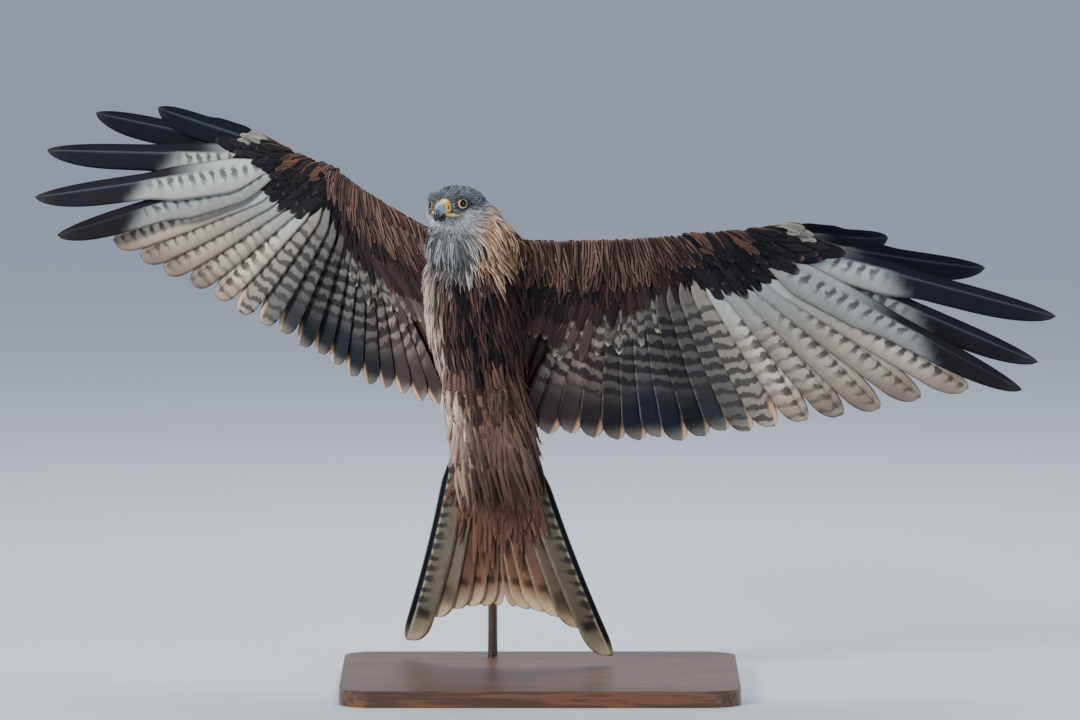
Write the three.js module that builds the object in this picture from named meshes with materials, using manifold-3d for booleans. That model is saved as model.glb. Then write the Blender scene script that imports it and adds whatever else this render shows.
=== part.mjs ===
// A red kite in flight, life size, held over a flat base by one slanting rod.
// Millimetres. X runs to the bird's left, Y away from its belly, Z up.
// The bird is laid out in an upright frame and then leaned back as one piece.

import * as THREE from 'three';
import { mergeVertices } from 'three/addons/utils/BufferGeometryUtils.js';
import Module from 'manifold-3d';

const wasm = await Module();
wasm.setup();

const { sin, cos, max, min, PI } = Math;
const DEG = PI / 180;

// Fit between neighbouring pieces
const GAP = 0.35;
const WELD = 0.004;

// Attitude of the body: lean to its right, pitch of the head end, roll about its length
const LEAN_BACK = -5 * DEG;
const BODY_TILT = 7.6 * DEG;
const BODY_PITCH = 22 * DEG;
const BODY_ROLL = 15 * DEG;
const TORSO_CENTRE = vec(-74.4, 0, 36);

// Body girths: place along the body, half width, depth to the back, depth to the belly
const TORSO_GIRTHS = [
  [95, 50, 40, 40],
  [75, 58, 46, 52],
  [40, 63, 50, 61],
  [0, 62, 50, 62],
  [-40, 57, 46, 54],
  [-80, 50, 42, 44],
  [-115, 42, 33, 34],
  [-140, 35, 25, 25],
];
const TORSO_STEPS = 14;
const TORSO_SIDES = 22;
// place from body to head, half width, depth to the back, depth to the throat
const NECK_GIRTHS = [[0, 50, 40, 40], [0.25, 51, 43, 39], [0.6, 45, 40, 36], [1, 34, 34, 30]];
const NECK_STEPS = 5;
const NECK_SIDES = 20;

// Head: it faces forwards, turned to its right and a little down
const HEAD_CENTRE = vec(-98.4, -62, 177.6);
const HEAD_TURN = 24 * DEG;
const HEAD_DIP = 8 * DEG;
const HEAD_ROLL = 7.5 * DEG;
// place along the head, half width, height above, depth below, rise of the middle
const HEAD_GIRTHS = [
  [-38, 12, 11, 12, 2],
  [-31, 25, 22, 24, 1],
  [-14, 34, 29, 30, 0],
  [4, 34.5, 30, 30, 0],
  [19, 30, 27, 25, 1],
  [30, 23.5, 22, 19, 3],
  [38, 16.5, 17, 14, 4],
  [43.5, 11, 12.5, 10.5, 5],
];
const HEAD_STEPS = 10;
const HEAD_SIDES = 18;
const EYE_RADIUS = 8.5;
const EYE_AHEAD = 29.5;
const EYE_OUT = 17;
const EYE_UP = 12.5;
const EYE_TOE_OUT = 62 * DEG;
const LID_RADIUS = 10;
const LID_BACK = 1.8;

// Bill: cere, hooked upper half and lower half
const CERE_START = 38;
const CERE_END = 50;
// place along the piece, half width, depth above, depth below
const CERE_GIRTHS = [[0, 11, 14, 6], [0.5, 9.8, 13, 5.5], [1, 8.6, 11.6, 5]];
const BILL_MIDDLE = 8;
const HOOK_LENGTH = 15;
const HOOK_TURN = 84 * DEG;
const HOOK_SQUASH = { ahead: 0.85, fall: 0.95 };
const HOOK_GIRTHS = [
  [0, 8.4, 11.4, 4.8],
  [0.35, 7, 9.6, 5],
  [0.7, 4.6, 6.2, 5],
  [0.9, 2.3, 3.2, 3],
  [1, 0.9, 1.2, 1.2],
];
const LOWER_GIRTHS = [[0, 7.8, 1.6, 6.8], [0.5, 6.6, 1.4, 5.4], [0.85, 4.4, 1, 3.4], [1, 2, 0.5, 1.4]];
const LOWER_LENGTH = 19;
const LOWER_BACK = 2;
const LOWER_DROP = { start: 8, along: 2.5 };
const BILL_SIDES = { cere: 16, horn: 14 };
const BILL_STEPS = { cere: 4, hook: 8, lower: 5 };
const NOSTRIL = { radius: 2.2, place: 0.72, out: 8.6, up: 4.5 };
const MOUTH = { height: 1, length: 30, depth: 14, ahead: 33, out: 20, drop: 9.3 };

// Legs: feathered thighs folded along the belly, with the feet tucked behind them
const THIGH_OUT = { start: 25, gain: 0.25, over: 96 };
const THIGH_STEPS = 6;
// place along the body, half width, depth to the back, depth to the belly, place through the body
const THIGH_GIRTHS = [
  [-52, 17, 12, 12, -44],
  [-75, 22, 17, 17, -41],
  [-105, 18, 15, 15, -33],
  [-128, 12, 10, 10, -28],
  [-138, 7, 6, 6, -26],
];
const TOE_LENGTHS = [18, 23, 19, 12];
const TOE_ANGLES = [-16, 1, 18, 46];
const TOE_RISE = 0.12;
const TOE_BOW = 4;
const TOE_GIRTHS = [[0, 1], [0.5, 0.9], [1, 0.72]];
const FOOT_PLACE = { ahead: -145, out: 19, back: -34 };
const TOE_RADIUS = 4.2;
const PALM_SHARE = 1.7;
const CLAW_RADIUS = 2.8;
const CLAW_TIP = 0.3;
const CLAW_TAPER = 0.8;
const CLAW_STEPS = 5;
const CLAW_LENGTH = 17;
const CLAW_TURN = 120 * DEG;

// Tail: twelve feathers in a shallow fork, on a rump that carries their coverts
const TAIL_AXIS = vec(0.065, 0.4715, -0.8795).normalize();
const TAIL_ACROSS = vec(0.963, -0.26, -0.068).normalize();
// place along the tail, half width, depth to the back, depth to the belly
const RUMP_GIRTHS = [[0, 35, 25, 25], [18, 40, 18, 19], [36, 43, 11, 13], [54, 41, 6, 9]];
const RECTRIX_LENGTHS = [205, 208, 211, 218, 234, 275];
const RECTRIX_ANGLES = [2, 5, 8.1, 11.4, 15.1, 19.3];
const RECTRIX_CURVES = [0, 0, -0.003, -0.006, -0.01, -0.016];
const RECTRIX_SPACING = 7.4;
const RECTRIX_ROOT = 30;
const RECTRIX_APART = 2;
const RECTRIX_ROLL = 5.5 * DEG;
const RECTRIX_OUTER_WEB = [15, 15, 15, 15, 14, 11];
const RECTRIX_INNER_WEB = [9, 18, 20, 21, 22, 23];
const RUMP_STEPS = 5;
const RUMP_TURN = 30;
const TAIL_COVERTS = 5;
const TAIL_COVERT_WEBS = { middle: [14, 14], side: [14, 18] };
const TAIL_COVERT_DROOP = 0.16;
const TAIL_COVERT_LAYERS = [
  { face: -1, length: 150, start: 36, level: 5, drop: 9, reach: 34, spread: 11 },
  { face: -1, length: 105, start: 20, level: 10, drop: 13.5, reach: 28, spread: 9 },
  { face: 1, length: 110, start: 34, level: 4, drop: 7, reach: 34, spread: 11 },
];

// Wings: shoulder and wrist in the upright frame, and the feather fans that spring from them
const HUMERUS = 120;
const ULNA = 138;
const SHOULDER = { out: 40, back: 20, ahead: 80 };
const SHAFT_PITCH = 10.2;
const ROOT_STEP = 4;
const LEFT_WING = {
  side: 1,
  leadingReach: 0.76,
  wrist: vec(186, 12, 141),
  handAxis: vec(0.986, 0.162, 0.037),
  handNormal: vec(-0.166, 0.96, 0.228),
  armNormal: vec(-0.168, 0.942, 0.291),
  primaries: [260, 275, 293, 314, 348, 394, 400, 388, 325, 200],
  primaryFans: [59.7, 53, 46.7, 39.9, 33.6, 29.5, 25.2, 17.3, 15.1, 14.1],
  primaryLifts: [0, 0, 0, 0, 0, -2.2, 3.8, 2.4, 20.9, 34.1],
  secondaries: [251, 243, 231, 229, 226, 214, 211, 204, 197, 189, 189, 183],
  secondaryFans: [69.2, 73.5, 77.2, 80.9, 85.2, 89, 92.7, 97.4, 103.1, 109.1, 114.8, 119.5],
  secondaryLifts: [-3.5, -3.4, -2.8, -2, -1, -0.3, 0, 0, 0, 0, 0, 0],
};
const RIGHT_WING = {
  side: -1,
  leadingReach: 1,
  wrist: vec(-257, 116, 224),
  handAxis: vec(-0.736, 0.621, 0.269),
  handNormal: vec(0.665, 0.738, 0.116),
  armNormal: vec(0.728, 0.651, 0.217),
  primaries: [248, 266, 291, 312, 340, 394, 400, 388, 325, 200],
  primaryFans: [52.1, 45.6, 39.8, 35.4, 30.8, 27.7, 20.8, 13.6, 6.9, 1.8],
  primaryLifts: [0, 0, 0, 0, 0, -4.6, -6.2, -2.3, 3.1, 2.3],
  secondaries: [235, 218, 206, 203, 195, 192, 190, 184, 176, 174, 178, 180],
  secondaryFans: [73.4, 79.7, 84.4, 89.7, 94.1, 98.8, 105.1, 112.8, 120.6, 129.3, 137.6, 146],
  secondaryLifts: [-8.5, -7.9, -6.2, -4, -2, -0.6, 0, 0, 0, 0, 0, 0],
};
// place from shoulder to wrist, reach ahead of that line, thickness to the back and to the belly
const ARM_GIRTHS = [
  [-0.12, 35, 18, 16],
  [0.12, 32, 16, 13],
  [0.4, 24, 12, 10],
  [0.72, 17, 10, 8.5],
  [1.08, 15, 9, 8],
];
const ARM_STEPS = 7;
const HAND_GIRTHS = [[-16, 14, 9, 8], [30, 13, 8, 7], [72, 15, 6.5, 6], [104, 19, 5, 4.5]];
const HAND_STEPS = 4;
const HAND_TAPER = { share: 0.35, over: 104 };
// webs ahead of and behind the shaft of each kind of quill, and the roll of its leading edge
const WEBS = { finger: [11, 25], inner: [12, 27], secondary: [13, 26], tertial: [16, 25] };
const QUILL_ROLL = 6.5 * DEG;
const TERTIAL_ROLL = 4 * DEG;
const FIRST_FINGER = 5;
const PRIMARY_START = 8;
const STEPPED_FROM = 6;
const LIFTED = { above: 10, bend: -0.05 };
const SECONDARY_ROOTS = { start: 0.03, run: 0.94 };
const TERTIAL_ROOTS = { start: 0.15, step: 0.22 };
const TERTIAL_LENGTHS = [168, 156, 142, 122];
const TERTIAL_TURN = 6;
const TERTIAL_LIFT = 3.5;
const FLESH_BEHIND = 17;
const FLESH_EDGE = 4.6;
const SECTION_PLACES = [0.06, 0.3, 0.7, 1];
const SECTION_SHARES = [0.5, 1, 0.8, 0];
const SECTION_NOSE = 8;
// Coverts: first place along the quill, rise off it at the root and again at the tip
const COVERT_START = 10;
const COVERT_ROLL = 5 * DEG;
const COVERT_BELLY = { rise: 3.3, droop: 4 };
const COVERT_BACK = { rise: 3.2, droop: 2 };
const ARM_COVERTS = { belly: 86, back: 92, webs: [13, 19] };
const HAND_COVERTS = { length: 95, gain: 5, back: 0.9, webs: [13, 18] };
// Three small feathers on the thumb, each shorter than the last
const ALULA = { out: 8, back: -12, up: 4, ball: 6, length: 96, shorter: 14, webs: [5, 10], roll: 8 * DEG };
const ALULA_FAN = { start: -1, step: 3.5, lift: 3 };
const ALULA_ROOT = { back: [2.6, -3], up: [-1.6, 3] };
const VANE = { half: 0.6, tip: 0.5, root: 0.25 };
const VANE_ROLL = { root: 1.25, loss: 0.75 };

// Stand: wooden base and a steel rod that slants up behind the tail into the back
const BASE = { width: 480, depth: 400, height: 20, corner: 40 };
const BASE_AHEAD = 70;
const ROD_RADIUS = 6;
const ROD_BACK = vec(-58, 40, 48);
const ROD_SLANT = 23 * DEG;
const ROD_SUNK = 10;
const TAIL_CLEARANCE = 14;

const BONE_COLOURS = { bill: 0x2c3138, cere: 0xe8b23a, claw: 0x1d1b1a, foot: 0xd9a63c, eye: 0xe9d9a2 };
const FEATHER_COLOURS = {
  body: 0x9a6038,
  head: 0xc2bdb4,
  wing: 0x5a4a42,
  hand: 0x2f2a29,
  tail: 0xb27a52,
  thigh: 0xa0683c,
};
const STAND_COLOURS = { rod: 0x8c8f94, base: 0x6b4a30 };

// Points and directions

function vec(x, y, z) {
  return new THREE.Vector3(x, y, z);
}

// A point some way along each of several directions.
function from(origin, ...steps) {
  const step = (point, [direction, length]) => point.addScaledVector(direction, length);
  return steps.reduce(step, origin.clone());
}

function cross(a, b) {
  return a.clone().cross(b).normalize();
}

// The part of a direction that is square to another one.
function squareTo(direction, axis) {
  return direction.clone().addScaledVector(axis, -direction.dot(axis)).normalize();
}

// Rows of sizes eased into a longer list of rows.
function smooth(rows, steps) {
  const column = (k) => rows.map((row, i) => new THREE.Vector2(i, row[k]));
  const curves = rows[0].map((_, k) => new THREE.SplineCurve(column(k)));
  return Array.from({ length: steps + 1 }, (_, i) => curves.map((curve) => curve.getPoint(i / steps).y));
}

// Solids

// A closed surface turned so that its faces point out.
function surface(points, faces) {
  let volume = 0;
  for (const [a, b, c] of faces) {
    volume += points[a].dot(points[b].clone().cross(points[c]));
  }
  const geometry = new THREE.BufferGeometry();
  geometry.setAttribute('position', new THREE.Float32BufferAttribute(points.flatMap((p) => p.toArray()), 3));
  geometry.setIndex(faces.flatMap(([a, b, c]) => (volume > 0 ? [a, b, c] : [a, c, b])));
  return geometry;
}

// A skin stretched over equal rings of points and closed with a fan at each end.
// The second half of each ring is cut along the other diagonal, so that the two
// faces of a thin vane are triangulated alike.
function loft(rings) {
  const count = rings[0].length;
  const points = rings.flat();
  const faces = [];
  for (let k = 0; k < rings.length - 1; k += 1) {
    for (let j = 0; j < count; j += 1) {
      const a = k * count + j;
      const b = k * count + ((j + 1) % count);
      if (2 * j > count - 2) {
        faces.push([a, b, a + count], [b, b + count, a + count]);
      } else {
        faces.push([a, b, b + count], [a, b + count, a + count]);
      }
    }
  }
  const last = (rings.length - 1) * count;
  for (let j = 1; j < count - 1; j += 1) {
    faces.push([0, j + 1, j], [last, last + j, last + j + 1]);
  }
  return surface(points, faces);
}

function solid(geometry) {
  const bare = geometry.clone();
  bare.deleteAttribute('normal');
  bare.deleteAttribute('uv');
  const merged = mergeVertices(bare, 1e-4);
  const vertProperties = Float32Array.from(merged.attributes.position.array);
  const triVerts = Uint32Array.from(merged.index.array);
  return new wasm.Manifold(new wasm.Mesh({ numProp: 3, vertProperties, triVerts }));
}

function join(geometries) {
  return geometries.map(solid).reduce((whole, piece) => whole.add(piece));
}

// The largest closed surface of a solid, back as a geometry.
function largest(body) {
  const parts = body.decompose();
  parts.sort((a, b) => b.volume() - a.volume());
  return welded(parts[0].getMesh());
}

// A mesh with every edge shorter than the weld drawn together to one point.
function welded({ vertProperties, triVerts }) {
  const corners = Array.from(triVerts);
  const count = vertProperties.length / 3;
  const points = Array.from({ length: count }, (_, i) => vec(...vertProperties.slice(3 * i, 3 * i + 3)));
  const kept = points.map((_, i) => i);
  const keeper = (i) => (kept[i] === i ? i : keeper(kept[i]));
  corners.forEach((corner, i) => {
    const next = corners[i % 3 === 2 ? i - 2 : i + 1];
    if (points[corner].distanceTo(points[next]) < WELD) {
      kept[max(keeper(corner), keeper(next))] = min(keeper(corner), keeper(next));
    }
  });
  const faces = [];
  for (let i = 0; i < corners.length; i += 3) {
    const face = corners.slice(i, i + 3).map(keeper);
    if (new Set(face).size === 3) {
      faces.push(face);
    }
  }
  const used = [...new Set(faces.flat())];
  const place = new Map(used.map((corner, i) => [corner, i]));
  const renumbered = faces.map((face) => face.map((corner) => place.get(corner)));
  return surface(used.map((corner) => points[corner]), renumbered);
}

function ellipse(centre, side, up, width, above, below, count) {
  return Array.from({ length: count }, (_, i) => {
    const angle = (2 * PI * i) / count;
    const height = sin(angle) > 0 ? above : below;
    return from(centre, [side, width * cos(angle)], [up, height * sin(angle)]);
  });
}

// Body frame: forwards to the head, out to the bird's left, and up through its back
const forward = vec(-sin(BODY_TILT) * cos(BODY_PITCH), -sin(BODY_PITCH), cos(BODY_TILT) * cos(BODY_PITCH));
const level = vec(cos(BODY_TILT), 0, sin(BODY_TILT));
const upright = cross(forward, level);
const left = level.clone().applyAxisAngle(forward, -BODY_ROLL);
const back = upright.clone().applyAxisAngle(forward, -BODY_ROLL);

function torsoShape(extra) {
  return loft(smooth(TORSO_GIRTHS, TORSO_STEPS).map(([place, width, above, below], i) => {
    const end = i === 0 ? extra : i === TORSO_STEPS ? -extra : 0;
    const centre = from(TORSO_CENTRE, [forward, place + end]);
    return ellipse(centre, left, back, width + extra, above + extra, below + extra, TORSO_SIDES);
  }));
}

// Head frame
const headForward = vec(-sin(HEAD_TURN) * cos(HEAD_DIP), -cos(HEAD_TURN) * cos(HEAD_DIP), -sin(HEAD_DIP));
const headLeft = vec(cos(HEAD_TURN), -sin(HEAD_TURN), 0).applyAxisAngle(headForward, -HEAD_ROLL);
const headUp = cross(headForward, headLeft);

function inHead(ahead, out, up) {
  return from(HEAD_CENTRE, [headForward, ahead], [headLeft, out], [headUp, up]);
}

function headShape(extra) {
  return loft(smooth(HEAD_GIRTHS, HEAD_STEPS).map(([place, width, above, below, rise], i) => {
    const end = i === 0 ? -extra : i === HEAD_STEPS ? extra : 0;
    const centre = inHead(place + end, 0, rise);
    return ellipse(centre, headLeft, headUp, width + extra, above + extra, below + extra, HEAD_SIDES);
  }));
}

function neckShape(extra) {
  const start = from(TORSO_CENTRE, [forward, TORSO_GIRTHS[0][0] + GAP - extra]);
  const run = HEAD_CENTRE.clone().sub(start);
  const facing = run.clone().normalize();
  return loft(smooth(NECK_GIRTHS, NECK_STEPS).map(([place, width, above, below]) => {
    const axis = forward.clone().lerp(facing, place).normalize();
    const side = squareTo(left.clone().lerp(headLeft, place), axis);
    const up = cross(axis, side);
    const centre = from(start, [run, place]);
    return ellipse(centre, side, up, width + extra, above + extra, below + extra, NECK_SIDES);
  }));
}

// Eyes, lids and mouth

function eyeCentre(side) {
  return inHead(EYE_AHEAD, side * EYE_OUT, EYE_UP);
}

function eyeFacing(side) {
  const ahead = headForward.clone().multiplyScalar(cos(EYE_TOE_OUT));
  return ahead.addScaledVector(headLeft, side * sin(EYE_TOE_OUT));
}

function ball(centre, radius, across, down) {
  return new THREE.SphereGeometry(radius, across, down).translate(centre.x, centre.y, centre.z);
}

// A lid is a slightly larger ball set back, so that it stands as a rim round the eye.
function lid(side) {
  return ball(from(eyeCentre(side), [eyeFacing(side), -LID_BACK]), LID_RADIUS, 12, 9);
}

function mouthSlot(side) {
  const slot = new THREE.BoxGeometry(MOUTH.length, MOUTH.depth, MOUTH.height);
  const turn = new THREE.Matrix4().makeBasis(headForward, headLeft, headUp);
  const centre = inHead(MOUTH.ahead, side * MOUTH.out, BILL_MIDDLE - MOUTH.drop);
  return slot.applyMatrix4(turn.setPosition(centre));
}

function headSolid() {
  let body = join([headShape(0), lid(1), lid(-1)]);
  for (const side of [1, -1]) {
    body = body.subtract(solid(ball(eyeCentre(side), EYE_RADIUS + GAP, 12, 9)));
    body = body.subtract(solid(mouthSlot(side)));
  }
  return body.subtract(solid(cereShape(GAP))).subtract(solid(lowerShape(GAP)));
}

function cereShape(extra) {
  const run = CERE_END - CERE_START;
  return loft(smooth(CERE_GIRTHS, BILL_STEPS.cere).map(([place, width, above, below], i) => {
    const end = i === 0 ? -extra : i === BILL_STEPS.cere ? extra : 0;
    const centre = inHead(CERE_START + run * place + end, 0, BILL_MIDDLE);
    return ellipse(centre, headLeft, headUp, width + extra, above + extra, below + extra, BILL_SIDES.cere);
  }));
}

function cereSolid() {
  let body = solid(cereShape(0));
  for (const side of [1, -1]) {
    const ahead = CERE_START + NOSTRIL.place * (CERE_END - CERE_START);
    const nostril = inHead(ahead, side * NOSTRIL.out, BILL_MIDDLE + NOSTRIL.up);
    body = body.subtract(solid(ball(nostril, NOSTRIL.radius, 8, 6)));
  }
  return body;
}

// The upper half follows an arc that turns down into the hook.
function hookShape() {
  return loft(smooth(HOOK_GIRTHS, BILL_STEPS.hook).map(([place, width, above, below]) => {
    const turn = HOOK_TURN * place * place;
    const ahead = CERE_END + GAP + HOOK_LENGTH * sin(HOOK_TURN * place) * HOOK_SQUASH.ahead;
    const fall = HOOK_LENGTH * (1 - cos(HOOK_TURN * place)) * HOOK_SQUASH.fall;
    const up = headUp.clone().multiplyScalar(cos(turn)).addScaledVector(headForward, sin(turn));
    return ellipse(inHead(ahead, 0, BILL_MIDDLE - fall), headLeft, up, width, above, below, BILL_SIDES.horn);
  }));
}

function lowerShape(extra) {
  return loft(smooth(LOWER_GIRTHS, BILL_STEPS.lower).map(([place, width, above, below], i) => {
    const end = i === 0 ? -extra : i === BILL_STEPS.lower ? extra : 0;
    const drop = LOWER_DROP.start + LOWER_DROP.along * place;
    const centre = inHead(CERE_START - LOWER_BACK + LOWER_LENGTH * place + end, 0, BILL_MIDDLE - drop);
    return ellipse(centre, headLeft, headUp, width + extra, above + extra, below + extra, BILL_SIDES.horn);
  }));
}

// Legs

function thighShape(side, extra) {
  return loft(smooth(THIGH_GIRTHS, THIGH_STEPS).map(([place, width, above, below, depth]) => {
    const along = (place - THIGH_GIRTHS[0][0]) / THIGH_OUT.over;
    const out = side * THIGH_OUT.start * (1 + THIGH_OUT.gain * along);
    const centre = from(TORSO_CENTRE, [forward, place], [left, out], [back, depth]);
    return ellipse(centre, left, back, width + extra, above + extra, below + extra, 14);
  }));
}

function footCentre(side) {
  const { ahead, out, back: behind } = FOOT_PLACE;
  return from(TORSO_CENTRE, [forward, ahead], [left, side * out], [back, behind]);
}

function toeDirection(side, index) {
  const angle = TOE_ANGLES[index] * DEG * side;
  const run = forward.clone().multiplyScalar(-cos(angle)).addScaledVector(left, sin(angle));
  return run.addScaledVector(back, TOE_RISE).normalize();
}

function toeShape(side, index) {
  const direction = toeDirection(side, index);
  const across = squareTo(left, direction);
  const up = cross(across, direction);
  const length = TOE_LENGTHS[index];
  return loft(TOE_GIRTHS.map(([place, size]) => {
    const radius = TOE_RADIUS * size;
    const centre = from(footCentre(side), [direction, length * place], [back, -TOE_BOW * sin(place * PI)]);
    return ellipse(centre, across, up, radius, radius, radius, 8);
  }));
}

function footSolid(side) {
  const toes = TOE_LENGTHS.map((_, index) => toeShape(side, index));
  const palm = ball(footCentre(side), TOE_RADIUS * PALM_SHARE, 10, 7);
  return join([palm, ...toes]);
}

function clawShape(side, index) {
  const direction = toeDirection(side, index);
  const across = squareTo(left, direction);
  const start = from(footCentre(side), [direction, TOE_LENGTHS[index] + GAP]);
  const down = cross(direction, across);
  const belly = down.dot(back) > 0 ? down.negate() : down;
  const radius = CLAW_LENGTH / CLAW_TURN;
  return loft(Array.from({ length: CLAW_STEPS + 1 }, (_, i) => {
    const place = i / CLAW_STEPS;
    const turn = CLAW_TURN * place;
    const centre = from(start, [direction, radius * sin(turn)], [belly, radius * (1 - cos(turn))]);
    const up = belly.clone().multiplyScalar(cos(turn)).addScaledVector(direction, -sin(turn));
    const size = CLAW_RADIUS * (1 - place) ** CLAW_TAPER + CLAW_TIP;
    return ellipse(centre, across, up, size * 0.8, size, size, 7);
  }));
}

// Feathers

// Breadth of a vane at places from root to tip, as a share of its full breadth.
const QUILL = [[0, 0.14], [0.09, 0.3], [0.22, 0.95], [0.6, 1], [0.9, 0.78], [1, 0.22]];
const RECTRIX = [[0, 0.4], [0.12, 0.92], [0.5, 1], [0.86, 0.86], [0.96, 0.6], [1, 0.24]];
const FINGER = [[0, 0.16], [0.1, 0.45], [0.26, 1], [0.44, 0.95], [0.56, 0.7], [0.86, 0.62], [1, 0.14]];
const COVERT = [[0, 0.5], [0.4, 1], [0.82, 0.84], [1, 0.3]];

// One vane, from its root to its tip. Its leading edge is rolled up towards the back,
// more at the root than at the tip, so that a row of them lies like tiles.
function vane({ root, tip, normal, lead, webs, profile, roll, bend = 0, curve = 0 }) {
  const run = tip.clone().sub(root);
  const length = run.length();
  const direction = run.clone().normalize();
  const up = squareTo(normal, direction);
  const side = squareTo(lead, direction);
  side.addScaledVector(up, -side.dot(up)).normalize();
  return loft(profile.map(([place, share]) => {
    const angle = roll * (VANE_ROLL.root - VANE_ROLL.loss * place);
    const edge = side.clone().multiplyScalar(cos(angle)).addScaledVector(up, sin(angle));
    const face = up.clone().multiplyScalar(cos(angle)).addScaledVector(side, -sin(angle));
    const bow = 4 * length * place * (1 - place);
    const centre = from(root, [direction, length * place], [up, bend * bow], [side, curve * bow]);
    const half = VANE.half * (VANE.tip + VANE.root * (1 - place));
    return [
      from(centre, [edge, webs[0] * share], [face, half]),
      from(centre, [edge, -webs[1] * share], [face, half]),
      from(centre, [edge, -webs[1] * share], [face, -half]),
      from(centre, [edge, webs[0] * share], [face, -half]),
    ];
  }));
}

// Tail

function tailSolid() {
  const normal = cross(TAIL_ACROSS, TAIL_AXIS);
  const upwards = normal.dot(back) > 0 ? normal : normal.clone().negate();
  const start = from(TORSO_CENTRE, [forward, TORSO_GIRTHS.at(-1)[0] - GAP]);
  const rump = loft(smooth(RUMP_GIRTHS, RUMP_STEPS).map(([place, width, above, below]) => {
    const share = min(1, place / RUMP_TURN);
    const axis = forward.clone().negate().lerp(TAIL_AXIS, share).normalize();
    const side = squareTo(left.clone().lerp(TAIL_ACROSS, share), axis);
    const up = squareTo(back.clone().lerp(upwards, share), axis);
    return ellipse(from(start, [TAIL_AXIS, place]), side, up, width, above, below, 20);
  }));
  const pieces = [rump];
  for (const side of [1, -1]) {
    RECTRIX_LENGTHS.forEach((length, k) => {
      const angle = RECTRIX_ANGLES[k] * DEG * side;
      const direction = TAIL_AXIS.clone().multiplyScalar(cos(angle)).addScaledVector(TAIL_ACROSS, sin(angle));
      const out = side * (RECTRIX_APART + RECTRIX_SPACING * k);
      const root = from(start, [TAIL_AXIS, RECTRIX_ROOT], [TAIL_ACROSS, out]);
      pieces.push(vane({
        root,
        tip: from(root, [direction, length]),
        normal: upwards,
        lead: TAIL_ACROSS.clone().multiplyScalar(side),
        webs: [RECTRIX_OUTER_WEB[k], RECTRIX_INNER_WEB[k]],
        profile: RECTRIX,
        roll: RECTRIX_ROLL,
        curve: RECTRIX_CURVES[k],
      }));
    });
  }
  for (const layer of TAIL_COVERT_LAYERS) {
    for (let i = 0; i < TAIL_COVERTS; i += 1) {
      const across = (2 * i) / (TAIL_COVERTS - 1) - 1;
      const side = across < 0 ? -1 : 1;
      const angle = across * layer.spread * DEG;
      const depth = layer.length * (1 - TAIL_COVERT_DROOP * across * across);
      const direction = TAIL_AXIS.clone().multiplyScalar(cos(angle)).addScaledVector(TAIL_ACROSS, sin(angle));
      const height = layer.face * layer.level;
      const out = across * layer.reach;
      const root = from(start, [TAIL_AXIS, layer.start], [TAIL_ACROSS, out], [upwards, height]);
      pieces.push(vane({
        root,
        tip: from(root, [direction, depth], [upwards, layer.face * layer.drop - height]),
        normal: upwards,
        lead: TAIL_ACROSS.clone().multiplyScalar(side),
        webs: across === 0 ? TAIL_COVERT_WEBS.middle : TAIL_COVERT_WEBS.side,
        profile: COVERT,
        roll: across === 0 ? 0 : COVERT_ROLL,
      }));
    }
  }
  return join(pieces);
}

// Wings

// The bones and axes of one wing.
function wingFrame(wing) {
  const { out, back: behind, ahead } = SHOULDER;
  const shoulder = from(TORSO_CENTRE, [left, wing.side * out], [back, behind], [forward, ahead]);
  const run = wing.wrist.clone().sub(shoulder);
  const reach = run.length();
  const arm = run.clone().normalize();
  const armNormal = squareTo(wing.armNormal, arm);
  const armBack = cross(armNormal, arm).multiplyScalar(wing.side);
  const along = (HUMERUS ** 2 - ULNA ** 2 + reach ** 2) / (2 * reach);
  const drop = Math.sqrt(HUMERUS ** 2 - along ** 2);
  const elbow = from(shoulder, [arm, along], [armBack, drop]);
  const hand = wing.handAxis.clone().normalize();
  const handNormal = squareTo(wing.handNormal, hand);
  const handBack = cross(handNormal, hand).multiplyScalar(wing.side);
  const bones = { shoulder, reach, arm, armNormal, armBack, along, drop, elbow };
  return { ...wing, ...bones, hand, handNormal, handBack };
}

// Section of the fleshy part of a wing: blunt behind, round in front.
function wingSection(centre, behindAxis, normal, ahead, behind, above, below, edge) {
  const chord = ahead + behind;
  const point = (place, height) => from(centre, [behindAxis, chord * place - ahead], [normal, height]);
  const upper = SECTION_PLACES.map((place, i) => point(place, max(edge, above * SECTION_SHARES[i])));
  const lower = SECTION_PLACES.map((place, i) => {
    const least = edge * min(1, place * SECTION_NOSE);
    return point(place, -max(least, below * SECTION_SHARES[i]));
  });
  return [point(0, 0), ...upper, ...lower.reverse()];
}

function armShape(frame, extra) {
  return loft(smooth(ARM_GIRTHS, ARM_STEPS).map(([place, ahead, above, below]) => {
    const along = frame.reach * place;
    const beyond = (frame.reach - along) / (frame.reach - frame.along);
    const bone = frame.drop * min(along / frame.along, beyond);
    const centre = from(frame.shoulder, [frame.arm, along]);
    const behind = max(0, bone) + FLESH_BEHIND + extra;
    const reachAhead = ahead * frame.leadingReach + extra;
    const depths = [above + extra, below + extra, FLESH_EDGE + extra];
    return wingSection(centre, frame.armBack, frame.armNormal, reachAhead, behind, ...depths);
  }));
}

function handShape(frame, extra) {
  return loft(smooth(HAND_GIRTHS, HAND_STEPS).map(([place, ahead, above, below]) => {
    const centre = from(frame.wrist, [frame.hand, place]);
    const behind = FLESH_BEHIND * (1 - (HAND_TAPER.share * place) / HAND_TAPER.over) + extra;
    const depths = [above + extra, below + extra, FLESH_EDGE + extra];
    return wingSection(centre, frame.handBack, frame.handNormal, ahead + extra, behind, ...depths);
  }));
}

// A direction given by its turn in the plane of the wing and its lift out of it.
function fanned(axis, behind, normal, fan, lift) {
  const flat = axis.clone().multiplyScalar(cos(fan * DEG)).addScaledVector(behind, sin(fan * DEG));
  return flat.multiplyScalar(cos(lift * DEG)).addScaledVector(normal, sin(lift * DEG));
}

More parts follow.
